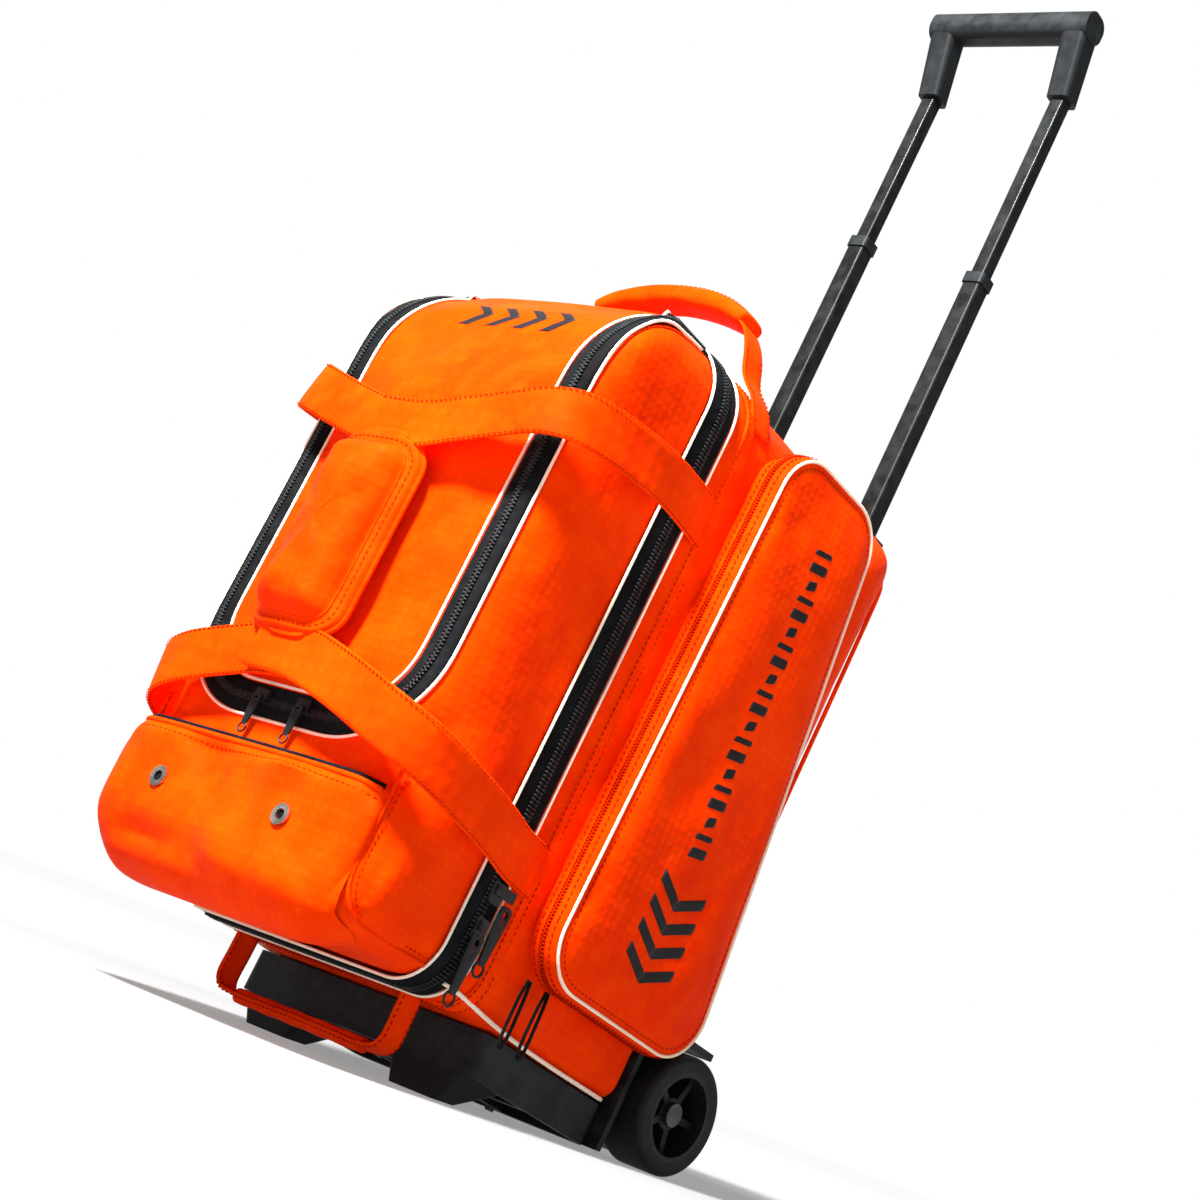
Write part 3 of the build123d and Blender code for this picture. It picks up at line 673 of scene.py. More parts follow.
# name, colour, darker, lighter, roughness, threads per metre, weave, rumple, sheen
FABRIC = cloth_material("orange_fabric", ORANGE, ORANGE_DARK, ORANGE_LIGHT, 0.55, 900, 0.4, 0.65, 0.03)
WEBBING = cloth_material("orange_webbing", WEB, ORANGE_DARK, ORANGE_LIGHT, 0.6, 520, 0.75, 0.1, 0.03)
LINING = cloth_material("black_lining", CHARCOAL, SOOT, ASH, 0.6, 800, 0.4, 0.5, 0.05)
TAPE = cloth_material("zip_tape_cloth", ZIP_CLOTH, SOOT, ASH, 0.62, 700, 0.7, 0.12, 0.04)
FOAM = cloth_material("cradle_foam", FOAM_GREY, CHARCOAL, ASH, 0.85, 300, 0.5, 0.3, 0.05)
CORD = cloth_material("pull_cord_braid", CHARCOAL, SOOT, ASH, 0.5, 1100, 0.8, 0.1, 0.05)
THREAD = cloth_material("orange_thread", *THREADS, 0.5, 1500, 0.4, 0.0, 0.02)
PIPING = cloth_material("white_piping", *IVORY, 0.45, 1300, 0.3, 0.05, 0.03)
# name, colour, roughness, grain, wear
PRINT = moulded_material("black_print", (0.008, 0.006, 0.006), 0.55, 0.25, 0.12)
TEETH = moulded_material("zip_coil", (0.006, 0.0075, 0.008), 0.5, 0.1, 0.08)
PLASTIC = moulded_material("black_plastic_moulded", CHARCOAL, 0.5, 0.5, 0.1)
TYRE = moulded_material("tyre_tread", (0.006, 0.007, 0.008), 0.62, 0.8, 0.15)
TUBES = moulded_material("powder_coat", (0.003, 0.0038, 0.0035), 0.42, 0.3, 0.08, coat=0.04)
DARK_METAL = moulded_material("black_zip_metal", (0.009, 0.01, 0.011), 0.36, 0.1, 0.2, coat=0.1, metallic=0.3)
EYELET = moulded_material("plated_eyelet", (0.3, 0.28, 0.25), 0.3, 0.1, 0.2, metallic=1.0)
STEEL = moulded_material("blackened_steel", (0.045, 0.047, 0.05), 0.4, 0.2, 0.2, metallic=0.8)
BOARD = moulded_material("pressed_board", (0.02, 0.02, 0.02), 0.7, 0.9, 0.2)

CAD_MATERIALS = {"lining_fabric": LINING, "black_plastic": PLASTIC, "tyre_rubber": TYRE, "tube_paint": TUBES,
                 "steel": STEEL, "board": BOARD, "foam": FOAM, "eyelet_metal": EYELET,
                 "zip_metal": DARK_METAL, "shell_fabric": FABRIC, "webbing": WEBBING, "zip_tape": TAPE,
                 "pull_cord": CORD}
for part in frame["record"]["subparts"]:
    node = frame["nodes"][part["node"]]
    node.data.materials.clear()
    node.data.materials.append(CAD_MATERIALS[part["material_slot"]])


# ------------------------------------------------------------------ lines that pieces share
def lid_path():
    """Centre line of the shoe lid's zip: over the top on one side, down, across and up again."""
    curve = [(CASE_FRONT, LID_LOW + LID_R)]
    over = arc((CASE_FRONT + CASE_TOP_R, TOP - CASE_TOP_R), CASE_TOP_R, 180, 90, 2)
    curve += [q for q in over if q[0] < LID_BACK]
    right = [(LID_HALF, y, z) for y, z in curve[::-1]]
    corner = arc((LID_HALF - LID_R, LID_LOW + LID_R), LID_R, 0, -90)
    low = [(x, CASE_FRONT, z) for x, z in corner]
    half = right + low
    return half + [(-x, y, z) for x, y, z in half[::-1]]


def barrel_path(y, start=-96.0, low_end=-96.0):
    """Round the shared outline at one y: along the top from the left, down the right, along the bottom."""
    high = (HALF_WIDTH - BARREL_TOP_R, TOP - BARREL_TOP_R)
    low = (HALF_WIDTH - BARREL_LOW_R, BOTTOM + BARREL_LOW_R)
    bends = arc(high, BARREL_TOP_R, 90, 0) + arc(low, BARREL_LOW_R, 0, -90)
    return [(start, y, TOP), (high[0], y, TOP)] + [(x, y, z) for x, z in bends] + [(low_end, y, BOTTOM)]


def pocket_edge(inset=0.0):
    """The side pocket's outline on the bag's y and z, counter-clockwise from the front lower corner."""
    corners = np.array(POCKET_SHAPE, float)
    line = []
    for k, corner in enumerate(corners):
        before, after = corners[k - 1] - corner, corners[(k + 1) % len(corners)] - corner
        before, after = before / np.linalg.norm(before), after / np.linalg.norm(after)
        half = math.acos(before @ after) / 2
        r = POCKET_R
        centre = corner + (before + after) / np.linalg.norm(before + after) * r / math.sin(half)
        a, b = corner + before * r / math.tan(half) - centre, corner + after * r / math.tan(half) - centre
        start, end = math.degrees(math.atan2(a[1], a[0])), math.degrees(math.atan2(b[1], b[0]))
        turn = (end - start + 180) % 360 - 180
        line += arc(centre, r - inset, start, start + turn)
    return np.array(line)


# ------------------------------------------------------------------ ball tub
def tub_room(p):
    """How far the tub's cloth may swell, in mm: nothing at the seam and round the wheel bays."""
    away = smoothstep(p[:, 1], -90, -45)
    corner = 1 - 0.7 * smoothstep(p[:, 1], 80, 130) * smoothstep(np.abs(p[:, 0]), 60, 100)
    top = 1 - 0.55 * smoothstep(p[:, 2], 440, 500)
    low = smoothstep(wheel_bays(p), 4, 40) * smoothstep(p[:, 2], BOTTOM + 1, BOTTOM + 40)
    room = 6.5 * away * corner * top * low
    under_pocket = (p[:, 0] > 110) & (p[:, 1] > -62) & (p[:, 2] > 84)
    tubes = (p[:, 1] > 120) & (p[:, 2] > 430) & (np.abs(np.abs(p[:, 0]) - 62) < 30)
    panel = (p[:, 1] > 140) & (np.abs(p[:, 0]) < 84) & (np.abs(p[:, 2] - 292) < 158)
    return np.where(under_pocket, 0.6, np.where(tubes | panel, 1.5, room))


def in_tube_hole(p):
    """Whether points lie in the two square holes that the trolley tubes come up through."""
    off = np.maximum(np.abs(np.abs(p[:, 0]) - TUBE_X), np.abs(p[:, 1] - TUBE_Y))
    return (off < TUBE_HOLE) & (p[:, 2] > TUBE_HOLE_LOW)


def make_tub():
    """The ball tub's padded cover, open at the front, with holes for the trolley tubes."""
    centre, half = np.array([0.0, 20.0, 285.0]), np.array([130.0, 145.0, 245.0])
    verts, faces = ball_grid(tub, centre, half, 72)
    cover = weld(make_object("tub_cover", verts, faces, FABRIC))
    puff(cover, COVER_VOXEL, 3.0, tub_room, growth=0.035, crease=0.38, wave=85, seed=21)
    keep_faces(cover, lambda p: (p[:, 1] > TUB_FRONT + CUT_MARGIN) & ~in_tube_hole(p))
    even_edge(cover, TUB_FRONT + EDGE_MARGIN)
    line_inwards(cover, 3.0, LINING)
    place(subdivide(cover), "bag", "shell_fabric", "tub_shell")


# ------------------------------------------------------------------ shoe case and its lid
def lid_distance(p):
    """Distance in mm to the lid's U-shaped edge: negative inside the lid."""
    return rounded(p[:, 0], p[:, 2], -LID_HALF, LID_HALF, LID_LOW, 900, (LID_R, LID_R, 0, 0))


def case_room(p):
    """How far the shoe case's cloth may swell, in mm: less by its seam, zip, toe pocket, base and top."""
    seam = smoothstep(-p[:, 1], 120, 150)
    tape = smoothstep(np.abs(lid_distance(p)), TAPE_HALF, TAPE_HALF + 34)
    tape = np.where(p[:, 1] < -112, tape, 0)
    pocket = np.where((p[:, 2] < 150) & (p[:, 1] < -190), 0.35, 1.0)
    base = smoothstep(p[:, 2], BOTTOM, BOTTOM + 34)
    top = 1 - 0.85 * smoothstep(p[:, 2], 425, 490)
    return 7.5 * seam * tape * pocket * base * top


def make_case():
    """The shoe case's padded cover and, cut out of it, the lid."""
    centre, half = np.array([0.0, -158.0, 285.0]), np.array([130.0, 60.0, 245.0])
    verts, faces = ball_grid(case, centre, half, 72)
    cover = weld(make_object("case_cover", verts, faces, FABRIC))
    puff(cover, COVER_VOXEL, 2.6, case_room, growth=0.04, crease=0.4, wave=80, seed=17)
    lid = new_object("shoe_lid_cover", cover.data.copy())
    on_lid = lambda p: (lid_distance(p) < 0) & (p[:, 1] < LID_BACK)
    keep_faces(cover, lambda p: ~on_lid(p) & (p[:, 1] < CASE_BACK - CUT_MARGIN))
    even_edge(cover, CASE_BACK - EDGE_MARGIN)
    keep_faces(lid, on_lid)
    for obj, node in ((cover, "case_shell"), (lid, "shoe_lid")):
        line_inwards(obj, 2.5, LINING)
        place(subdivide(obj), "front_case", "shell_fabric", node)


make_tub()
make_case()


# ------------------------------------------------------------------ zips, piping and seams on the body
def make_lid_zip():
    """The zip round the shoe lid: tape, teeth, and white piping on both sides."""
    path = lid_path()
    add("lid_zip_tape", tape_on(path, case, LID_TAPE_HALF, -0.8, 1.3), TAPE, "front_case", "zip_tape",
        "lid_zip")
    add("lid_zip_tape_teeth", zip_teeth(path, case, 1.7), TEETH, "front_case", "zip_tape")
    for letter, offset in (("a", -12.2), ("b", 12.2)):
        line = beside(path, case, offset, 0.9)[0][3:-3]
        add(f"lid_zip_tape_piping_{letter}", tube(line, PIPING_R), PIPING, "front_case")


def make_half_seam(name, node, body, side):
    """One side of the main zip: its tape beside the seam, its teeth and its white piping."""
    tape_path, teeth_path, piping_path = (barrel_path(SEAM_Y + side * off) for off in (7.2, 1.9, 14.8))
    add(name, tape_on(tape_path, barrel, MAIN_TAPE_HALF, -0.6, 1.4), TAPE, body, "zip_tape", node)
    joined = resample(np.hstack(seam_frames(teeth_path, barrel, 1.9)), 2.7)
    p, n, s = joined[:, :3], joined[:, 3:6], joined[:, 6:]
    teeth = beads(p, s, tangents(p), n, (1.8, 0.8, 0.8))
    add(name + "_teeth", teeth, TEETH, body, "zip_tape")
    line = beside(piping_path, barrel, 0.0, 1.0)[0]
    add(name + "_piping", tube(line, PIPING_R), PIPING, body)


make_lid_zip()
make_half_seam("main_zip_case_side", "main_zip_case_tape", "front_case", -1)
make_half_seam("main_zip_tub_side", "main_zip_tub_tape", "bag", 1)


# ------------------------------------------------------------------ finding the swollen surfaces
RAY_BACK, RAY_LENGTH = 0.06, 0.16
FILM = 0.15


class Skin:
    """The finished surface of a piece, for laying seams, stitches and prints on it."""

    def __init__(self, obj):
        self.tree = BVHTree.FromObject(obj, bpy.context.evaluated_depsgraph_get())

    def lay(self, points, toward, height):
        """Points moved along toward until they reach the skin, and then lifted off it, with its normals."""
        ray = Vector(AXES_NP @ np.array(toward, float)).normalized()
        out, normals = [], []
        for p in to_world(points):
            hit, normal, _, _ = self.tree.ray_cast(Vector(p) - ray * RAY_BACK, ray, RAY_LENGTH)
            if hit is None:
                hit, normal = Vector(p), -ray
            if normal.dot(ray) > 0:
                normal = -normal
            out.append(hit + normal * height * MM)
            normals.append(normal)
        return to_bag(np.array(out)), np.array(normals) @ AXES_NP


LAID = {"front": (0, 1, 0), "right": (-1, 0, 0), "top": (0, 0, -1), "back": (0, -1, 0),
        "top_front": (0, 0.6, -0.8)}


def seam_on(name, skin, path, toward, body, material=None, radius=0.0, lift=0.0):
    """A row of stitches, or piping where a radius is given, along a path laid on a skin."""
    line, normals = skin.lay(resample(path, 3.0), LAID[toward], lift)
    line = relax(line, 2)
    shape = tube(line, radius) if radius else stitches(line, normals)
    add(name, shape, material or THREAD, body)


def print_on(name, skin, shapes, toward, body, plane, depth, step=2.5, lift=0.25, rings=4):
    """Flat printed shapes: polygons on two of the bag's axes, laid on a skin as a thin film."""
    verts, faces = [], []
    for shape in shapes:
        rim = resample(shape, step, closed=True)
        middle = rim.mean(0)
        base = len(verts)
        flat = [middle] + [middle + (q - middle) * k / rings for k in range(1, rings + 1) for q in rim]
        for u, v in flat:
            point = [depth] * 3
            point[plane[0]], point[plane[1]] = u, v
            verts.append(point)
        count = len(rim)
        for k in range(count):
            m = (k + 1) % count
            faces.append((base, base + 1 + k, base + 1 + m))
            for r in range(rings - 1):
                low, high = base + 1 + r * count, base + 1 + (r + 1) * count
                faces.append((low + k, high + k, high + m, low + m))
    obj = make_object(name, skin.lay(np.array(verts), LAID[toward], lift)[0], faces, PRINT)
    obj.modifiers.new("film", "SOLIDIFY").thickness = FILM * MM
    place(obj, body, "shell_fabric")


# ------------------------------------------------------------------ pads
def pad(name, outline, lift, front, back, material, rings=14, roundness=3.0):
    """Closed crowned pad from its outline; lift(u, v, height) gives the points for places on its faces."""
    centre = outline.mean(0)
    scale = np.sin(np.linspace(0, 1, rings + 1)[1:] * math.pi / 2)
    flat = [np.array([[centre[0], centre[1], front]])]
    for height, steps in ((front, scale), (-back, scale[-2::-1])):
        for s in steps:
            ring = centre + (outline - centre) * s
            flat.append(np.column_stack([ring, np.full(len(ring), height * (1 - s ** roundness))]))
    flat.append(np.array([[centre[0], centre[1], -back]]))
    flat = np.concatenate(flat)
    count, levels, faces = len(outline), 2 * rings - 1, []
    for k in range(count):
        m = (k + 1) % count
        faces.append((0, 1 + k, 1 + m))
        faces += [(1 + r * count + k, 1 + (r + 1) * count + k, 1 + (r + 1) * count + m, 1 + r * count + m)
                  for r in range(levels - 1)]
        faces.append((len(flat) - 1, 1 + (levels - 1) * count + m, 1 + (levels - 1) * count + k))
    return make_object(name, lift(flat[:, 0], flat[:, 1], flat[:, 2]), faces, material)


def box_outline(low_u, high_u, low_v, high_v, radii, step=5.0):
    """Rounded rectangle, with a radius for each corner: low-low, high-low, high-high, low-high."""
    corners = ((low_u, low_v, 1, 1, 180), (high_u, low_v, -1, 1, 270), (high_u, high_v, -1, -1, 0),
               (low_u, high_v, 1, -1, 90))
    line = []
    for (u, v, su, sv, start), r in zip(corners, radii):
        line += arc((u + su * r, v + sv * r), r, start, start + 90)
    return resample(line, step, closed=True)


def rows_to(x):
    """Three columns from values that may be single numbers."""
    return np.column_stack(np.broadcast_arrays(*x)).astype(float)


# ------------------------------------------------------------------ side pocket
def at_x(x, line):
    """A line given on the bag's y and z, at one x."""
    return np.column_stack([np.full(len(line), x), line])


def make_side_pocket():
    """Side pocket: a soft gusset on the bag and a crowned cover that opens with its piping and print."""
    edge = resample(pocket_edge(), 7.0, closed=True)
    depth = POCKET_OUT - POCKET_IN - 2.0
    profile = ((-0.25, -1.0), (0.0, 0.0), (0.12, 1.0), (0.32, 2.6), (0.45, 2.1), (0.55, 2.1), (0.7, 2.7),
               (0.88, 1.6), (1.0, 0.0))
    t = tangents(edge, closed=True)
    out = np.column_stack([t[:, 1], -t[:, 0]])
    rings = [at_x(POCKET_IN + depth * x, edge + out * b) for x, b in profile]
    rings += [at_x(POCKET_IN + depth * x, edge + out * (b - 2.4)) for x, b in profile[::-1]]
    faces = grid_faces(len(rings), len(edge), closed_rows=True, closed_columns=True)
    gusset = make_object("side_pocket_sides", np.concatenate(rings), faces, FABRIC)
    place(subdivide(gusset), "bag", "shell_fabric", "side_pocket_gusset")

    inside = pad("side_pocket_back", resample(pocket_edge(2.6), 7.0, closed=True),
                 lambda u, v, h: rows_to((POCKET_IN + 1.6 + h, u, v)), 0.5, 0.5, LINING, rings=10,
                 roundness=8.0)
    place(inside, "bag", "shell_fabric")

    line = resample(pocket_edge(), 2.3, closed=True)
    t = tangents(at_x(0.0, line), closed=True)
    n = np.cross(t, np.array([1.0, 0, 0]))
    mid = at_x(POCKET_IN + depth * 0.5, line) + n * 2.6
    across = np.tile([1.0, 0, 0], (len(line), 1))
    teeth = join(beads(mid - across * 0.9, across, t, n, (1.6, 0.6, 0.6)),
                 beads(mid + across * 0.9 + t * 1.15, across, t, n, (1.6, 0.6, 0.6)))
    add("side_pocket_zip_coil", teeth, THREAD, "bag")
    for name, share in (("inner", 0.24), ("outer", 0.8)):
        row = stitches(at_x(POCKET_IN + depth * share, line) + n * 2.5, n)
        add(f"side_pocket_zip_stitches_{name}", row, THREAD, "bag")

    x_face = POCKET_OUT - 1.4
    cover = pad("side_pocket_front", resample(pocket_edge(0.5), 6.0, closed=True),
                lambda u, v, h: rows_to((x_face + h, u, v)), 4.0, 0.6, FABRIC, rings=26, roundness=5.0)
    room = lambda p: 4.5 * smoothstep(p[:, 0], x_face - 0.2, x_face + 2.5)
    puff(cover, None, 1.6, room, growth=0.006, crease=0.28, wave=75, seed=3)
    place(subdivide(cover), "pocket_cover", "shell_fabric", "side_pocket_cover")
    line = resample(pocket_edge(0.2), 4.0, closed=True)
    trim = at_x(x_face + 0.5, line)
    add("side_pocket_piping", tube(trim, 1.15, closed=True), PIPING, "pocket_cover")
    skin = Skin(cover)
    inset = resample(pocket_edge(5.0), 3.0, closed=True)
    row = at_x(x_face, inset)
    seam_on("side_pocket_stitches", skin, np.vstack([row, row[:1]]), "right", "pocket_cover")
    bars, z = [], 208.0
    for k in range(20):
        tall, wide = ((17.0, 7.0), (17.0, 4.0), (9.0, 7.0))[k % 3]
        y = 22.0 - 0.04 * (z - 200)
        bars.append([(y - tall / 2, z), (y + tall / 2, z + 3.5), (y + tall / 2, z + 3.5 + wide),
                     (y - tall / 2, z + wide)])
        z += wide + 5.6
    halves, y = [], 26.0
    for low in (122.0, 139.0, 156.0, 173.0):
        halves += [[(y - 26, low + 12), (y, low), (y, low + 8), (y - 26, low + 20)],
                   [(y, low), (y + 26, low + 12), (y + 26, low + 20), (y, low + 8)]]
    print_on("side_pocket_print", skin, bars + halves, "right", "pocket_cover", (1, 2), x_face)


make_side_pocket()


# ------------------------------------------------------------------ toe pocket
def make_toe_pocket():
    """The bulging pocket at the foot of the shoe case: it wraps the front corners and the bottom edge."""
    high, low, bend, eyelet_z, eyelet_x = 141.0, 14.0, 76.0, 101.0, 59.0
    outline = box_outline(-119, 119, low, high, (26, 26, 5, 5), 4.0)

    def lift(u, v, h):
        below = np.maximum(bend - v, 0)
        turn = np.minimum(below / CASE_BOTTOM_R, math.pi / 2)
        beyond = np.maximum(below - CASE_BOTTOM_R * math.pi / 2, 0)
        y = CASE_FRONT + CASE_BOTTOM_R * (1 - np.cos(turn)) + beyond
        z = np.where(v < bend, bend - CASE_BOTTOM_R * np.sin(turn), v)
        rise = np.clip((high - v) / 3.5, 0, 1) * smoothstep(v, 100, 125)
        lip = 9.5 * rise * smoothstep(116 - np.abs(u), 0, 16)
        base = drape(rows_to((u, y, z)), case, 0.4)
        fade = 1 - (1 - smoothstep(119 - np.abs(u), 0, 34)) * smoothstep(80 - v, 0, 22)
        thick = np.where(h > 0, np.maximum(h, lip) * fade, h)
        return base + slope(case, base) * thick[:, None]

    pocket = pad("toe_pocket_front", outline, lift, 13.2, 0.3, FABRIC, rings=26, roundness=5.0)

    def room(p):
        near = np.hypot(np.abs(p[:, 0]) - eyelet_x, p[:, 2] - eyelet_z)
        proud = smoothstep(-p[:, 1], 196, 214) * smoothstep(high - p[:, 2], 3, 14)
        return (0.7 + 6.0 * smoothstep(near, 12, 36)) * proud * smoothstep(p[:, 2], 52, 64)

    puff(pocket, None, 2.0, room, growth=0.012, crease=0.72, wave=54, seed=11)
    place(subdivide(pocket), "front_case", "shell_fabric", "toe_pocket")
    skin = Skin(pocket)
    across = np.linspace(-111, 111, 40)
    rim = rows_to((across, CASE_FRONT, 137.2 - 1.2 * (across / 111) ** 2))
    seam_on("toe_pocket_hem", skin, rim, "front", "front_case", FABRIC, radius=1.9, lift=0.3)
    seam_on("toe_pocket_stitches", skin, rim - (0, 0, 6), "front", "front_case")
    # Dark tube in lining colour along the pocket's opening. It is partly the lining seen in the gap and partly
    # painted shade of the gap under the lip.
    mouth = relax(skin.lay(rim, LAID["front"], 0.3)[0], 2) + (0, 1.9, 2.7)
    add("toe_pocket_mouth_painted_shade", tube(mouth, 1.9), LINING, "front_case")
    for side, s in (("right", 1), ("left", -1)):
        edge = [(s * 113.4, CASE_FRONT + 7.3, z) for z in (160, 140, 120, 98)]
        edge += [(s * (114 + 8 * k / 15), y, z) for k, (y, z) in
                 enumerate(arc((CASE_FRONT + 33, 84), 26, 180, 270))]
        edge += [(s * 122, -150, 58), (s * 122, -122, 59)]
        line = beside(edge, case, 0.0, 1.0)[0]
        add(f"case_side_piping_{side}", tube(line, BINDING_R), FABRIC, "front_case")
        row = stitches(*beside(edge, case, 4.5, 0.6))
        add(f"case_side_stitches_{side}", row, THREAD, "front_case")
    holes, sides, radius = [], 20, 3.6
    for x in (-eyelet_x, eyelet_x):
        centre = skin.lay(np.array([(x, CASE_FRONT, eyelet_z)]), LAID["front"], 0.25)[0][0]
        disc = [centre + np.array([radius * math.cos(a), 0, radius * math.sin(a)])
                for a in np.linspace(0, 2 * math.pi, sides, endpoint=False)]
        faces = [(0, 1 + k, 1 + (k + 1) % sides) for k in range(sides)]
        holes.append((np.array([centre + (0, -0.5, 0)] + disc), faces))
    add("eyelet_mesh", join(*holes), LINING, "front_case")


make_toe_pocket()


# ------------------------------------------------------------------ straps
def strap(name, points, body, nodes, width=38.0, thickness=2.2, twist=(0.0,), sewn=None, crown=0.6,
          lean=(0, 0, 1.0)):
    """A length of webbing through points, its width held along lean and turned by twist, in degrees.

    sewn gives two places, which are not used; when it is given, the webbing and its stitches are baked where they
    lie and not hung on body.
    """
    line = resample(points, 5.0)
    line = resample(relax(line, 14), 5.0)
    t = tangents(line)
    upright = np.array(lean, float)
    across = upright - t * (t @ upright)[:, None]
    across /= np.linalg.norm(across, axis=1, keepdims=True)
    normals = np.cross(t, across)
    share = np.linspace(0, 1, len(line))
    turn = np.radians(np.interp(share, np.linspace(0, 1, len(twist)), twist))[:, None]
    cos, sin = np.cos(turn), np.sin(turn)
    across, normals = across * cos + normals * sin, normals * cos - across * sin
    sway = np.sin(share * 23.0) * 0.35 + np.sin(share * 61.0 + 1.3) * 0.15
    line = line + normals * sway[:, None]
    obj = make_object(name, *band(line, across, normals, width / 2, thickness, crown, columns=13), WEBBING)
    if not sewn:
        place(subdivide(obj), body, "webbing", *nodes)
        return
    inset, rise = width / 2 - 2.6, thickness / 2 + crown * 0.3
    rows = [stitches(line + across * (s * inset) + normals * (g * rise), normals * g, pitch=4.0, thick=0.28)
            for s in (-1, 1) for g in (-1, 1)]
    thread = make_object(name + "_stitches", *join(*rows), THREAD)
    for piece in (apply_modifiers(subdivide(obj)), thread):
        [tuple(to_world(p)) for p in sewn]
        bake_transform(piece)
    if nodes:
        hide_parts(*nodes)


def arm(s, root_z, corner_z, middle_z, front, bulge):
    """One arm of a carrying loop: out of the side seam, round the front corner, past the middle."""
    def between(a, b, share):
        return a * (1 - share) + b * share

    side, end = 123.5 + bulge, -26
    return [(s * 123.6, -73, root_z), (s * 126, -82, root_z), (s * (124.5 + bulge / 2), -104, root_z - 1),
            (s * side, -140, between(root_z, corner_z, 1 / 3)),
            (s * (side + 1.5), -178, between(root_z, corner_z, 2 / 3)),
            (s * (side - 1), -207, corner_z),
            (s * (side - 9.5), -front + 9, between(corner_z, middle_z, 0.1)),
            (s * 108, -front + 1, between(corner_z, middle_z, 0.25)),
            (s * 78, -front, between(corner_z, middle_z, 0.55)),
            (s * 45, -front, between(corner_z, middle_z, 0.8)),
            (s * 18, -front, middle_z), (s * end, -front, middle_z)]


def make_carrying_loops():
    """The two carrying loops, each of two arms sewn to the tub and a grip that joins them."""
    for side, s, front, bulge in (("right", 1, 238.0, 14.5), ("left", -1, 231.5, 7.0)):
        body = f"{side}_handle"
        sewn = ((s * 124.0, -77.0, 275.0), (s * 124.0, -97.0, 275.0))
        for level, heights, twist, nodes in (
                ("upper", (402, 393, 362), (0, 4, 9 * s, 5 * s, 0), (f"tote_strap_{side}",)),
                ("lower", (148, 164, 199), (0, -2, -6 * s, -3 * s, 0), ())):
            strap(f"carry_strap_{side}_{level}", arm(s, *heights, front, bulge), body, nodes, twist=twist,
                  sewn=sewn)
        grip = [(0, -front - 2.4 * s, 205), (0, -front - 2.4 * s, 356)]
        strap(f"carry_strap_{side}_grip", grip, body, (), width=36, lean=(1, 0, 0))


make_carrying_loops()


def make_wrap():
    """The padded wrap that holds the two carrying loops together: a thick roll with a flat bound border."""
    half, middle, low, high, border = 40.0, -5.0, 209.0, 351.0, 9.0
    corners = (21, 21, 21, 21)

    depth = lambda u, v: rounded(u, v, middle - half, middle + half, low, high, corners)

    def lift(u, v, h):
        inside = np.maximum(-depth(u, v), 0)
        climb = np.clip((inside - border) / 26.0, 0, 1)
        thick = 3.2 * np.clip(inside / 1.5, 0, 1) ** 0.5 + 15.6 * np.sqrt(1 - (1 - climb) ** 2)
        bow = 8.0 * np.abs((u - middle) / half) ** 2.4
        return rows_to((u, -240.6 + bow - np.where(h > 0, thick, h), v))

    outline = box_outline(middle - half, middle + half, low, high, corners, 3.5)
    wrap = pad("handle_wrap_pad", outline, lift, 15.5, 1.0, FABRIC, rings=30, roundness=3.2)
    room = lambda p: 2.6 * smoothstep(-depth(p[:, 0], p[:, 2]), border + 2, border + 14)
    puff(wrap, None, 2.0, room, growth=0.02, crease=0.35, wave=38, seed=5)
    place(subdivide(wrap), "right_handle", "shell_fabric", "handle_wrap")
    skin = Skin(wrap)
    edge = lift(outline[:, 0], outline[:, 1], np.full(len(outline), -1.0))
    add("handle_wrap_binding", tube(edge, 1.9, closed=True), FABRIC, "right_handle")
    for name, inset, radius in (("stitches", 4.2, 0.0), ("welt", border - 0.6, 0.8)):
        row = box_outline(middle - half + inset, middle + half - inset, low + inset, high - inset,
                          [r - inset for r in corners], 3.0)
        path = rows_to((row[:, 0], -262.0, row[:, 1]))
        seam_on(f"handle_wrap_{name}", skin, np.vstack([path, path[:1]]), "front", "right_handle",
                FABRIC if radius else THREAD, radius=radius)


make_wrap()


# ------------------------------------------------------------------ grab handles
def web_line(path, rounds):
    """A webbing's middle line, smoothed, with its width along y and its normals."""
    line = resample(relax(resample(path, 3.0), rounds), 3.0)
    across = np.tile([0, 1.0, 0], (len(line), 1))
    return line, across, np.cross(tangents(line), across)


